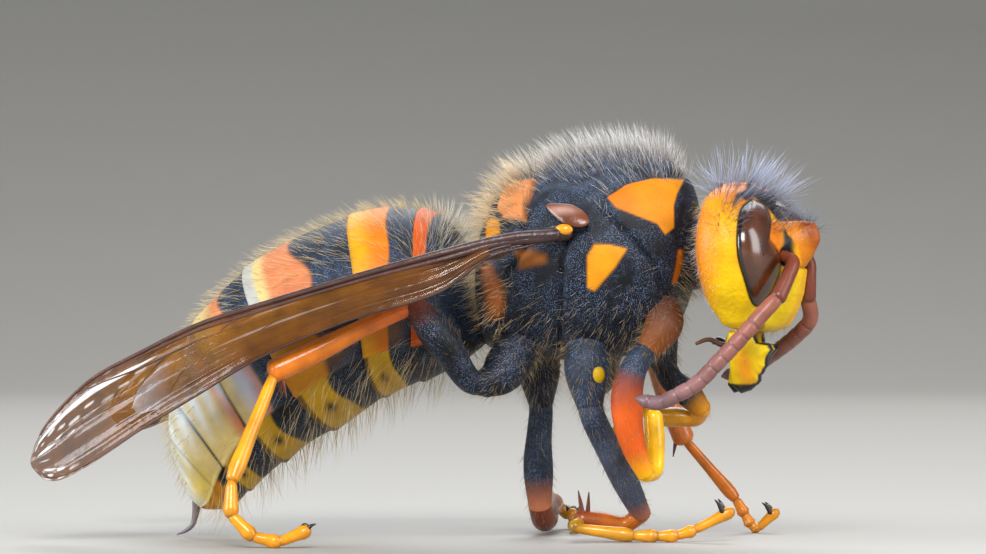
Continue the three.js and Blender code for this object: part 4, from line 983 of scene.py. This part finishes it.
def make_head():
    dome = np.radians([89, 75, 60, 45, 30, 15])
    z = np.concatenate([HEAD_TOP + 0.12 * np.sin(dome), np.linspace(HEAD_TOP, HEAD_BOTTOM, 170),
                        HEAD_BOTTOM - 0.42 * np.sin(dome[::-1])])
    shrink = np.concatenate([np.cos(dome), np.ones(170), np.cos(dome[::-1])])
    grid = head_rings(np.clip(z, HEAD_BOTTOM, HEAD_TOP))
    middle = grid.mean(axis=1, keepdims=True)
    grid = middle + (grid - middle) * shrink[:, None, None]
    grid[..., 2] = z[:, None]
    face = np.exp(-((np.abs(grid[..., 1]) / 0.8) ** 3)) * soft_step(grid[..., 0], 9.8, 0.8)
    level = np.interp(z, [7.5, 8.2, 8.8, 9.8, 10.6, 11.4], [0, 0.32, 0.46, 0.42, 0.34, 0])
    grid[..., 0] += face * level[:, None]
    skin = Skin(grid)
    x, y = grid[..., 0], grid[..., 1]
    zz = grid[..., 2]
    u, _ = seen_from_side(grid, EYE_LOOK, NECK_PIVOT)
    forward = soft_step(x, 9.6, 0.6)
    in_eye = patch(u, zz, EYE_LINE, 0.05) * soft_step(x, 8.9, 0.2)
    rim = np.exp(-((line_distance(u, zz, EYE_LINE) / 0.06) ** 2))
    rim = rim * soft_step(x, 9.2, 0.4)
    shield = [(-a, b) for a, b in CLYPEUS[::-1]] + CLYPEUS
    on_clypeus = patch(y, zz, shield, 0.04) * soft_step(x, 10.0, 0.3)
    clypeus_line = np.exp(-((line_distance(y, zz, shield) / 0.045) ** 2)) * soft_step(x, 10.0, 0.3)
    slope = np.interp(zz, [9.7, 10.66, 10.84, 11.3], [0, 1, 1, 0.1])
    slope = slope * (1 - soft_step(zz, 11.35, 0.2))
    plate = np.exp(-((np.abs(y) / 0.36) ** 2)) * slope * forward
    half_shield = [(0.42, 11.3), (0.6, 10.9), (0.42, 10.3), (0.3, 9.8)]
    shield_line = half_shield + [(-a, b) for a, b in half_shield[::-1]]
    socket = np.hypot((np.abs(y) - 0.82) / 0.24, (zz - 10.12) / 0.34)
    height = -0.2 * in_eye + 0.07 * on_clypeus - 0.06 * clypeus_line
    height += 0.78 * plate - 0.12 * np.exp(-(socket**4)) * forward
    height += 0.004 * np.sin(zz * 23 + np.sin(x * 5) * 3) * np.sin(x * 17 + np.sin(zz * 4) * 2)
    skin.raise_by(height)
    colour = flat((0.68, 0.31, 0.001), grid.shape)
    behind = 1 - soft_step(u, -0.3, 1.1)
    high = soft_step(zz, 11.9, 1.4) * (1 - soft_step(u, 1.4, 0.8))
    back_edge = 1 - soft_step(x, 8.6, 0.5)
    colour = blend(colour, ORANGE, np.maximum(behind * 0.8, high * 0.9))
    colour = blend(colour, (0.44, 0.12, 0.035), back_edge * 0.8)
    low = 1 - soft_step(zz, 9.6, 1.5)
    colour = blend(colour, LEMON, low * (1 - behind) * 0.8)
    forehead = patch(u, zz, FOREHEAD_BLACK, 0.05)
    strip = np.exp(-(((u - 2.36) / 0.21) ** 4)) * soft_step(zz, 10.1, 0.15)
    strip = strip * (1 - soft_step(zz, 11.6, 0.2))
    on_plate = patch(y, zz, shield_line, 0.05) * forward
    black = np.maximum(forehead, strip * forward) * (1 - on_plate)
    colour = blend(colour, BLACK, black)
    colour = blend(colour, (0.54, 0.17, 0.004), on_plate)
    colour = blend(colour, (0.26, 0.05, 0.005), soft_step(plate, 0.5, 0.6) * on_plate * 0.9)
    notch = soft_step(u, 1.45, 0.1) * (1 - soft_step(u, 2.26, 0.1)) * soft_step(zz, 10.05, 0.3)
    notch = notch * (1 - soft_step(zz, 11.35, 0.15)) * soft_step(x, 10.0, 0.4)
    notch = notch * (1 - on_plate) * (1 - black)
    colour = blend(colour, (0.52, 0.14, 0.004), notch)
    colour = blend(colour, BLACK, (1 - soft_step(socket, 1.1, 0.3)) * forward)
    lower = blend(flat(LEMON, grid.shape), np.array((0.60, 0.21, 0.01)),
                  np.exp(-((y / 0.3) ** 2)) * 0.55)
    colour = blend(colour, lower, on_clypeus)
    # Painted shade: the face colour darkened along the sunken clypeus groove
    colour = blend(colour, colour * 0.45, np.clip(clypeus_line, 0, 1) * 0.8)
    colour = blend(colour, BLACK, rim)
    skin.colour = colour
    body = skin.moved(turned)
    make_skin("head_skin", [body], FACE, ["head", "clypeus"])
    return skin, body


def make_eyes():
    rings = np.sin(np.linspace(0.02, np.pi / 2, 34))
    outline = spline(EYE + [EYE[0]], np.arange(150) / 150)
    middle = np.array([1.28, 10.2])
    spread = middle + (outline - middle)[None] * rings[:, None, None]
    dome = (1 - rings**2.4) ** 0.62
    u, z = spread[..., 0], spread[..., 1]
    grid = np.stack([face_place(u[i], z[i]) for i in range(len(rings))])
    skin = Skin(grid)
    skin.raise_by((LENS_SWELL * dome - 0.01)[:, None] * np.ones(grid.shape[1]))
    x, y, zz = (skin.grid[..., k] for k in range(3))
    marble = 0.5 + 0.5 * np.sin(zz * 5.1 + 1.7 * np.sin(x * 6.3) + 2.1 * np.sin(y * 4.7))
    colour = np.array(EYE_BROWN) * (0.75 + 0.5 * marble[..., None])
    back = 1 - soft_step(u, 1.1, 0.5)
    edge = soft_step(rings[:, None] + 0.09 * back, 0.97, 0.05)
    skin.colour = blend(colour, (0.006, 0.004, 0.004), edge)
    make_skin("eye_right_lens", [skin.moved(turned)], LENS, ["eye_right"])
    make_skin("eye_left_lens", [mirrored(skin).moved(turned)], LENS, ["eye_left"])


def make_mandibles():
    outline = np.asarray(MANDIBLE + [MANDIBLE[0]], float)
    length = np.concatenate([[0], np.cumsum(np.linalg.norm(np.diff(outline, axis=0), axis=1))])
    wanted = np.linspace(0, length[-1], 161)[:-1]
    line = np.stack([np.interp(wanted, length, outline[:, k]) for k in range(2)], axis=1)
    teeth = np.clip(np.sin(wanted * 11), 0, 1) * (line[:, 0] > 9.95) * (line[:, 1] < 6.9)
    middle = np.array([9.75, 6.45])
    line = line + unit(line - middle) * (0.035 * teeth)[:, None]
    half = np.linspace(0.02, 1, 26)
    shares = np.concatenate([half, half[::-1]])
    side = np.concatenate([-np.ones(26), np.ones(26)])
    thick = 0.31 * (1 - np.abs(shares) ** 4) ** 0.5 + 0.02
    x = middle[0] + (line[:, 0] - middle[0])[None] * shares[:, None]
    z = middle[1] + (line[:, 1] - middle[1])[None] * shares[:, None]
    y = (side * thick)[:, None] - MANDIBLE_OUT + (MANDIBLE[0][1] - z) * MANDIBLE_LEAN
    grid = np.stack([x, y, z], axis=-1)
    colour = flat(LEMON, grid.shape)
    core = np.exp(-(((x - 9.7) / 0.35) ** 2 + ((z - 6.2) / 0.8) ** 2))
    colour = blend(colour, (0.64, 0.2, 0.003), core * 0.9)
    low = 1 - soft_step(z, 5.64, 0.1)
    edge = soft_step(np.broadcast_to(shares[:, None], x.shape), 0.93 - 0.12 * low, 0.04)
    cutting = np.maximum(soft_step(x, 10.0, 0.2), 1 - soft_step(z, 6.9, 0.3))
    colour = blend(colour, BLACK, np.maximum(edge * cutting, low * 0.95))
    right = Skin(grid, colour)
    left = mirrored(right).moved(lambda g: g - (MANDIBLE_BACK, 0, 0))
    make_skin("mandible_right_shell", [right.moved(turned)], SATIN, ["mandible_right"])
    make_skin("mandible_left_shell", [left.moved(turned)], SATIN, ["mandible_left"])


def make_mouth():
    skins = [ellipsoid((9.1, 0, 7.1), (0.6, 0.36, 0.46), MOUTH_BROWN)]
    for side in (-1, 1):
        line = [(9.0, side * 0.15, 7.1), (8.5, side * 0.28, 7.0), (8.05, side * 0.45, 7.2),
                (7.7, side * 0.75, 7.05)]
        skins.append(Skin(limb(line, [0.16, 0.1, 0.09, 0.06], 20, 12), MOUTH_BROWN))
    make_skin("mouthparts", [s.moved(turned) for s in skins], GLOSS, ["labium"])


def make_antennae():
    coats = []
    for n, side in enumerate(("right", "left")):
        scape = limb(SCAPES[side], [0.2, 0.25, 0.26, 0.3], 30, 24)
        scape = painted(scape, [(0.17, 0.035, 0.014), (0.13, 0.03, 0.016)])
        make_skin(f"antenna_scape_{side}_shell", [scape.moved(turned)], SATIN,
                  [f"antenna_scape_{side}"])
        line = evenly(FLAGELLA[side], 181)
        far = np.linspace(0, 1, 181)
        share = np.where(far < 0.2, far / 0.2, 1 + (far - 0.2) / 0.8 * (FLAGELLUM_PIECES - 1))
        within = share % 1.0
        taper = 0.27 - 0.03 * far + 0.02 * np.sin(far * 3)
        swell = 1 - 0.1 * np.exp(-((within / 0.12) ** 2)) + 0.03 * np.sin(within * 3.1)
        tip = np.clip((1 - far) / 0.06, 0, 1) ** 0.5
        grid = tube(line, np.maximum(taper * swell * np.maximum(tip, 0.3), 0.03), 24)
        pink, grey = np.array((0.28, 0.08, 0.042)), np.array((0.14, 0.097, 0.115))
        rows = np.clip(np.arange(len(grid)) - 4, 0, len(line) - 1)
        colour = blend(flat(pink, [len(grid)]), grey, 0.1 + 0.75 * far[rows])
        joint = np.exp(-(((within[rows] - 0.5) / 0.47) ** 16))
        colour = blend(colour, (0.10, 0.06, 0.055), (1 - joint) * 0.7)
        flagellum = Skin(grid, colour[:, None, :]).moved(turned)
        make_skin(f"antenna_flagellum_{side}_shell", [flagellum], SATIN,
                  [f"antenna_flagellum_{side}"])
        coats.append(hairs(flagellum, 170, 0.05, 0.003, 0.45, (0, 0, 0), (0.34, 0.2, 0.2),
                           (0.55, 0.42, 0.46), 71 + n))
        coats.append(hairs(scape.moved(turned), 90, 0.06, 0.003, 0.4, (0, 0, 0), (0.25, 0.08, 0.04),
                           (0.5, 0.3, 0.24), 75 + n))
    make_coat("antenna_down", coats)


def head_coat(local, body):
    g = local.grid
    x, z = g[..., 0], g[..., 2]
    u, _ = seen_from_side(g, EYE_LOOK, NECK_PIVOT)
    free = 1 - patch(u, z, EYE_LINE, 0.05) * soft_step(x, 8.9, 0.2)
    crown = soft_step(z, 12.1, 0.5) * soft_step(x, 8.7, 0.3)
    frons = soft_step(z, 11.0, 0.3) * soft_step(x, 9.3, 0.3) * (1 - crown)
    silver = np.array((0.50, 0.55, 0.76))
    dark = np.array((0.035, 0.03, 0.035))
    parts = [
        hairs(body, 40 * crown * free, 1.4, 0.009, 0.93, (0.2, 0, 0.9), dark * 1.4, silver, 81,
              rings=4, stray=0.08),
        hairs(body, 70 * frons * free, 0.75, 0.0085, 0.85, (0.5, 0, 0.7), dark, silver * 0.35, 82,
              rings=3),
    ]
    behind = (1 - soft_step(x, 8.5, 0.3)) * (1 - crown)
    parts.append(hairs(body, 48 * behind, 0.34, 0.0065, 0.7, (-0.6, 0, -0.2), (0.3, 0.12, 0.03),
                       (0.82, 0.68, 0.56), 83))
    cheek = free * (1 - crown) * (1 - frons) * (1 - behind)
    pinkish = (1 - soft_step(u, -0.2, 0.9)) * (1 - behind) * (1 - crown) * free
    parts.append(hairs(body, 60 * pinkish, 0.18, 0.0055, 0.5, (-0.3, 0, -0.3), (0.5, 0.2, 0.06),
                       (0.86, 0.72, 0.66), 86))
    parts.append(hairs(body, 22 * cheek, 0.12, 0.0035, 0.4, (0, 0, -0.3), local.colour * 0.8,
                       local.colour * 0.7 + 0.16, 84))
    chin = (1 - soft_step(z, 7.8, 0.3)) * free
    parts.append(hairs(body, 22 * chin, 0.36, 0.006, 0.7, (0, 0, -0.6), (0.5, 0.3, 0.05),
                       (0.6, 0.42, 0.15), 85))
    make_coat("head_hair", parts)


# Wings


VEIN_LINES = [
    ([(0.0, 0.3), (0.08, 0.2), (0.2, 0.08), (0.4, 0.03), (0.62, 0.02), (0.8, 0.02), (0.93, 0.05)],
     0.22, 0.045),
    ([(0.0, 0.62), (0.1, 0.4), (0.25, 0.2), (0.5, 0.12), (0.68, 0.06)], 0.2, 0.04),
    ([(0.1, 0.5), (0.2, 0.42), (0.4, 0.34), (0.52, 0.26), (0.66, 0.22), (0.8, 0.08)], 0.07, 0.035),
    ([(0.08, 0.66), (0.25, 0.6), (0.5, 0.56), (0.7, 0.5), (0.86, 0.42)], 0.07, 0.03),
    ([(0.06, 0.8), (0.25, 0.8), (0.5, 0.78), (0.72, 0.74)], 0.06, 0.03),
    ([(0.03, 0.95), (0.35, 0.985), (0.7, 0.98), (0.94, 0.93)], 0.05, 0.035),
    ([(0.4, 0.34), (0.44, 0.46), (0.46, 0.57)], 0.035, 0.03),
    ([(0.52, 0.26), (0.5, 0.18), (0.49, 0.12)], 0.035, 0.03),
    ([(0.62, 0.24), (0.66, 0.36), (0.68, 0.5)], 0.035, 0.03),
    ([(0.58, 0.55), (0.6, 0.66), (0.62, 0.76)], 0.035, 0.03),
]
FOLD_UPPER = [(0.12, 0.5), (0.25, 0.34), (0.45, 0.24), (0.6, 0.28), (0.66, 0.42), (0.685, 0.64)]
FOLD_LOWER = [(0.12, 0.9), (0.25, 0.98), (0.45, 0.97), (0.6, 0.9), (0.66, 0.82), (0.685, 0.66)]


def streaky(a, s, seed, along=9.0, across=46.0):
    """Uneven streaks along a wing, from 0 to 1."""
    random = np.random.default_rng(seed)
    total = np.zeros(np.shape(a))
    for _ in range(9):
        p, q = random.uniform(0.4, 1, 2)
        turn, lean = random.uniform(0, 6.28, 2)
        length_wave = np.sin(a * along * p + turn + 3 * np.sin(s * 5 * q + lean))
        total += length_wave * np.sin(s * across * q + lean + a * 8 * p)
    return 0.5 + total / 12


def sample_wing(sheet, a, s):
    rows = np.clip(a, 0, 1) * (sheet.grid.shape[0] - 1.001)
    columns = np.clip(s, 0, 1) * (sheet.grid.shape[1] - 1.001)
    r, c = rows.astype(int), columns.astype(int)
    places = [v.ravel() for v in (r, c, rows - r, columns - c)]
    shape = np.shape(a) + (3,)
    return [take(values, *places, False).reshape(shape) for values in (sheet.grid, sheet.normal())]


def wing_paint(a, s, seed):
    colour = flat(AMBER, np.shape(a))
    gold = np.exp(-(((a - 0.55) / 0.22) ** 2 + ((s - 0.45) / 0.3) ** 2))
    colour = blend(colour, (0.27, 0.105, 0.001), gold * 0.9)
    brown = np.exp(-(((a - 0.8) / 0.07) ** 2 + ((s - 0.55) / 0.28) ** 2))
    colour = blend(colour, (0.07, 0.024, 0.006), brown * 0.8)
    costal = np.exp(-((s / (0.3 - 0.26 * np.clip(a, 0, 1) ** 0.6)) ** 2))
    colour = blend(colour, (0.035, 0.013, 0.014), costal * 0.95)
    # Painted sheen: the wing tip turned greyer
    tip = soft_step(a, 0.95, 0.12)
    colour = blend(colour, (0.12, 0.075, 0.055), tip * 0.45)
    # Painted highlights: white glint streaks and specks, gathered near the tip, the middle and the outer
    # front
    near_tip = np.exp(-(((a - 0.92) / 0.09) ** 2))
    middle = np.exp(-(((a - 0.42) / 0.2) ** 2 + ((s - 0.5) / 0.2) ** 2))
    outer = np.exp(-(((a - 0.76) / 0.1) ** 2 + ((s - 0.22) / 0.14) ** 2))
    glint_zone = np.clip(near_tip + middle + outer, 0, 1)
    shine = soft_step(streaky(a, s, seed, 7, 38), 0.9 - 0.27 * glint_zone, 0.07) * soft_step(s, 0.12, 0.1)
    speckle = soft_step(streaky(a, s, seed + 1, 90, 70), 0.70, 0.08)
    speckle = speckle * np.clip(near_tip * 1.3 + outer, 0, 1)
    shine = np.maximum(shine, speckle * 0.8)
    return blend(colour, (0.92, 0.90, 0.90), shine * 0.95)


def make_wing(name, edges, change, lines, nodes, fold):
    along = np.linspace(0, 1, 300)
    across = np.linspace(0, 1, 72)
    a, s = np.meshgrid(along, across, indexing="ij")
    upper, lower = spline(edges[0], along), spline(edges[1], along)
    narrow = np.sqrt(np.clip(1 - np.clip((along - 0.93) / 0.07, 0, 1) ** 2, 0.0004, 1))
    narrow *= 0.2 + 0.8 * soft_step(along, 0.03, 0.08)
    across_at = 0.5 + (across[None] - 0.5) * narrow[:, None]
    sheet = Skin(upper[:, None] + (lower - upper)[:, None] * across_at[..., None], closed=False)
    taper = 1 - soft_step(a, 0.92, 0.16)
    pleats = 0.06 * np.sin(s * 17 + 2.2 * a) * np.sin(np.pi * s) * soft_step(a, 0.1, 0.2)
    fine = 0.05 * (streaky(a, s, 5, 16, 60) - 0.5)
    sheet.raise_by((pleats + fine) * taper)
    sheet.colour = wing_paint(a, s, 3)
    under = Skin(sheet.grid - sheet.normal() * 0.02, sheet.colour, closed=False)
    membrane = [sheet.moved(change), under.moved(change)]
    if fold:
        t = np.linspace(0, 1, 160)
        top, bottom = spline(FOLD_UPPER, t), spline(FOLD_LOWER, t)
        wide = np.linspace(0, 1, 40)
        place = top[:, None] + (bottom - top)[:, None] * wide[None, :, None]
        base, outward = sample_wing(sheet, place[..., 0], place[..., 1])
        side = np.sign(outward[..., 1].mean()) * -1
        arch = 0.06 + 0.1 * np.sin(np.pi * wide)[None, :, None]
        lobe = Skin(base + outward * side * arch, closed=False)
        lobe.raise_by(0.035 * (streaky(place[..., 0], place[..., 1], 8, 20, 70) - 0.5))
        paint = wing_paint(place[..., 0], place[..., 1] * 0.6 + 0.4, 9)
        lobe.colour = blend(paint, (0.12, 0.045, 0.012), np.full(paint.shape[:2], 0.4))
        # Painted highlight: the far end of the fold turned pale grey
        end = soft_step(place[..., 0], 0.63, 0.08)
        lobe.colour = blend(lobe.colour, (0.36, 0.31, 0.30), end * 0.75)
        membrane.append(lobe.moved(change))
    make_skin(f"{name}_membrane", membrane, WING, nodes)
    veins = []
    for line, base, end in lines:
        path = spline(line, np.linspace(0, 1, 70))
        centre, _ = sample_wing(sheet, path[:, 0], path[:, 1])
        grid = tube(centre, end + (base - end) * (1 - np.linspace(0, 1, 70)) ** 1.4, 12)
        vein = painted(grid, [(0.03, 0.012, 0.014), (0.05, 0.018, 0.012), (0.09, 0.03, 0.01)])
        veins.append(vein.moved(change))
    make_skin(f"{name}_veins", veins, VEIN, [])


def make_wings():
    root = np.array(FOREWING[0][0])

    def left(grid):
        g = grid * (1, -1, 1)
        x, z = g[..., 0] - root[0], g[..., 2] - root[2]
        c, s = math.cos(LEFT_WING_LIFT), math.sin(LEFT_WING_LIFT)
        return np.stack([root[0] + x * c + z * s, g[..., 1], root[2] - x * s + z * c], axis=-1)

    for side, change in (("right", lambda g: g), ("left", left)):
        make_wing(f"forewing_{side}", FOREWING, change, VEIN_LINES, [f"forewing_{side}"], True)
        make_wing(f"hindwing_{side}", HINDWING, change, VEIN_LINES[3:5], [f"hindwing_{side}"], False)


# Legs


def make_claw(tip, heading, side):
    heading = np.array(heading)
    across = unit(np.array([-heading[1], heading[0], 0.0])) * side
    tip = np.array(tip)
    points = [tip + across * 0.08, tip + heading * 0.55 + across * 0.24,
              tip + heading * 0.95 + across * 0.3]
    points[-1][2] -= 0.12
    return painted(limb(points, [0.12, 0.08, 0.02], 16, 10), [DARK_BROWN, BLACK])


def make_leg(name, leg):
    coxa_line, coxa_radii = leg["coxa"]
    femur_line = [coxa_line[-1]] + leg["femur"][0]
    tibia_line = [femur_line[-1]] + leg["tibia"][0]
    joints = [tibia_line[-1]] + leg["tarsus"]
    paint = leg["paint"]
    coxa = painted(limb(coxa_line, coxa_radii, 30, 36), paint["coxa"])
    femur = painted(limb(femur_line, leg["femur"][1], 44, 32), paint["femur"])
    tibia = painted(limb(tibia_line, leg["tibia"][1], 40, 28), paint["tibia"])
    dark = [coxa, femur]
    if "spot" in leg:
        dark.append(ellipsoid(leg["spot"], (0.3, 0.27, 0.34), (0.50, 0.30, 0.003), 16, 20))
    tail = [tibia]
    for spur in leg["spurs"]:
        tail.append(painted(limb(spur, [0.09, 0.07, 0.02], 12, 10), [RED_BROWN, DARK_BROWN]))
    colours = np.asarray(paint["tarsus"], float)
    for i, (a, b) in enumerate(zip(joints, joints[1:])):
        a, b = np.array(a), np.array(b)
        share = i / (len(joints) - 2)
        thick = leg["thick"] * (1 - 0.15 * share)
        path = a + (b - a) * np.linspace(0.02, 0.97, 14)[:, None]
        radii = thick * np.array(TARSUS_SWELL)
        place = share * (len(colours) - 1)
        colour = [np.interp(place, np.arange(len(colours)), colours[:, k]) for k in range(3)]
        piece = tube(path, radii, 20)
        tail.append(painted(piece, [np.array(colour) * 0.35, colour, colour, np.array(colour) * 0.55]))
    heading = leg["claw"]
    start = np.array(joints[-2]) + (np.array(joints[-1]) - np.array(joints[-2])) * 0.8
    tail += [make_claw(start, heading, side) for side in (-1, 1)]
    pad = start + np.array(heading) * 0.45
    tail.append(ellipsoid(pad, (0.12, 0.12, 0.12), (0.1, 0.08, 0.06), 10, 14))
    for skin in dark + tail:
        skin.grid[..., 2] = np.maximum(skin.grid[..., 2], 0)
    make_skin(f"leg_{name}_thigh", dark, SHELL, [f"coxa_{name}", f"femur_{name}"])
    make_skin(f"leg_{name}_shin", tail, GLOSS, [f"tibia_{name}", f"tarsus_{name}"])
    seed = 100 + 10 * sorted(LEGS).index(name)
    golden = np.array((0.55, 0.38, 0.18))
    coats = [
        hairs(coxa, 30, 0.42, 0.0065, 0.6, (0, 0, -0.4), golden * 0.3, golden * 0.95, seed),
        hairs(femur, 20, 0.34, 0.0055, 0.5, (0, 0, 0), femur.colour * 0.5 + 0.03, golden * 0.7,
              seed + 1),
        hairs(tibia, 20, 0.26, 0.005, 0.4, (0, 0, 0), tibia.colour, golden, seed + 2),
    ]
    for k, skin in enumerate(tail[1 + len(leg["spurs"]):-3]):
        coats.append(hairs(skin, 20, 0.2, 0.005, 0.35, (0, 0, 0), skin.colour, golden, seed + 3 + k))
    return coats


def make_legs():
    coats = []
    for name, leg in LEGS.items():
        coats += make_leg(name, leg)
    make_coat("leg_hair", coats)


# Small pieces


def make_small_pieces():
    sting = limb(STING, [0.2, 0.14, 0.1, 0.07, 0.02], 40, 16)
    sting = painted(sting, [(0.16, 0.12, 0.11), (0.1, 0.08, 0.1)])
    sting.grid[..., 2] = np.maximum(sting.grid[..., 2], 0)
    make_skin("sting_shaft", [sting], GLOSS, ["sting"])
    neck = Skin(limb(NECK, NECK_RADII, 40, 60), BLACK)
    make_skin("neck_skin", [neck], SHELL, ["neck"])
    down = hairs(neck, 42, 0.62, 0.008, 0.8, (0.2, 0, -0.1), (0.16, 0.09, 0.03), (0.60, 0.42, 0.18), 91,
                 rings=3)
    make_coat("neck_hair", [down])
    for side in (-1, 1):
        name = "right" if side < 0 else "left"
        g = ellipsoid((0, 0, 0), TEGULA_SIZE, RED_BROWN, 40, 60).grid
        tip = 1 - 0.5 * np.clip(-g[..., :1] / TEGULA_SIZE[0], 0, 1)
        g = g * np.concatenate([np.ones_like(tip), tip, tip], axis=-1)
        x = g[..., 0] * math.cos(TEGULA_TILT) + g[..., 2] * math.sin(TEGULA_TILT)
        z = -g[..., 0] * math.sin(TEGULA_TILT) + g[..., 2] * math.cos(TEGULA_TILT)
        y = side * (3.42 - 0.5 * (z + 0.1) + g[..., 1])
        tegula = Skin(np.stack([x + 3.52, y, z + 11.6], axis=-1), (0.12, 0.03, 0.008))
        # Painted highlight: a pale spot on the tegula's top
        pale = np.exp(-(((x + 0.2) / 0.5) ** 2 + ((z - 0.14) / 0.15) ** 2))
        tegula.colour = blend(tegula.colour, (0.50, 0.29, 0.23), pale * 0.9)
        plate = ellipsoid((3.46, side * 3.66, 11.05), (0.32, 0.16, 0.2), (0.72, 0.27, 0.004), 20, 24)
        root = ellipsoid((3.2, side * 3.5, 10.9), (0.55, 0.3, 0.3), DARK_BROWN, 20, 24)
        make_skin(f"tegula_{name}_shell", [tegula, plate, root], GLOSS,
                  [f"tegula_{name}"])


# Stage, light and camera


def make_stage():
    """A pale floor that curves up into a plain backdrop far behind."""
    turns = np.radians(np.linspace(0, 90, 24))
    profile = [(FLOOR_NEAR, 0.0), (FLOOR_FAR, 0.0)]
    for t in turns[1:]:
        profile.append((FLOOR_FAR + BACKDROP_BEND * math.sin(t), BACKDROP_BEND * (1 - math.cos(t))))
    profile.append((FLOOR_FAR + BACKDROP_BEND, BACKDROP_TOP))
    c, s = math.cos(SIDE_LOOK), math.sin(SIDE_LOOK)
    points = []
    for side in (-FLOOR_HALF_WIDTH, FLOOR_HALF_WIDTH):
        points += [(side * c - away * s, side * s + away * c, up) for away, up in profile]
    count = len(profile)
    faces = [(i, i + 1, count + i + 1, count + i) for i in range(count - 1)]
    mesh = bpy.data.meshes.new("floor")
    mesh.from_pydata(points, [], faces)
    mesh.shade_smooth()
    mesh.materials.append(new_material("pale_floor", Base_Color=(*FLOOR_GREY, 1), Roughness=0.6)[0])
    floor = bpy.data.objects.new("floor", mesh)
    bpy.context.scene.collection.objects.link(floor)


def make_light(name, place, size, watts, colour):
    lamp = bpy.data.lights.new(name, "AREA")
    lamp.shape = "RECTANGLE"
    lamp.size, lamp.size_y = size
    lamp.energy = watts
    lamp.color = colour
    light = bpy.data.objects.new(name, lamp)
    bpy.context.scene.collection.objects.link(light)
    light.location = place
    direction = bpy.context.scene.camera.location.copy()
    direction = -light.location + type(direction)((0, 0, 0.008))
    light.rotation_euler = direction.to_track_quat("-Z", "Y").to_euler()


def make_camera():
    camera = bpy.data.cameras.new("camera")
    camera.lens = CAMERA_LENS
    camera.sensor_width = SENSOR_WIDTH
    camera.clip_start = 0.001
    eye = bpy.data.objects.new("camera", camera)
    bpy.context.scene.collection.objects.link(eye)
    away = np.array([math.sin(SIDE_LOOK), -math.cos(SIDE_LOOK), 0]) * CAMERA_DISTANCE
    eye.location = (away + (0, 0, CAMERA_HEIGHT) + OFFSET) * 0.001
    eye.rotation_euler = (math.pi / 2, 0, SIDE_LOOK)
    bpy.context.scene.camera = eye


def make_light_set():
    world = bpy.data.worlds.new("studio")
    world.use_nodes = True
    set_inputs(world.node_tree.nodes["Background"], {"Color": (0.9, 0.93, 1, 1), "Strength": 0.3})
    bpy.context.scene.world = world
    for lamp in LIGHTS:
        make_light(*lamp)
    bpy.context.scene.view_settings.view_transform = "Standard"


make_camera()
make_stage()
make_light_set()
thorax = make_thorax()
thorax_coat(thorax)
gaster = make_gaster()
gaster_coat(gaster)
head_local, head_body = make_head()
head_coat(head_local, head_body)
make_eyes()
make_mandibles()
make_mouth()
make_antennae()
make_wings()
make_legs()
make_small_pieces()
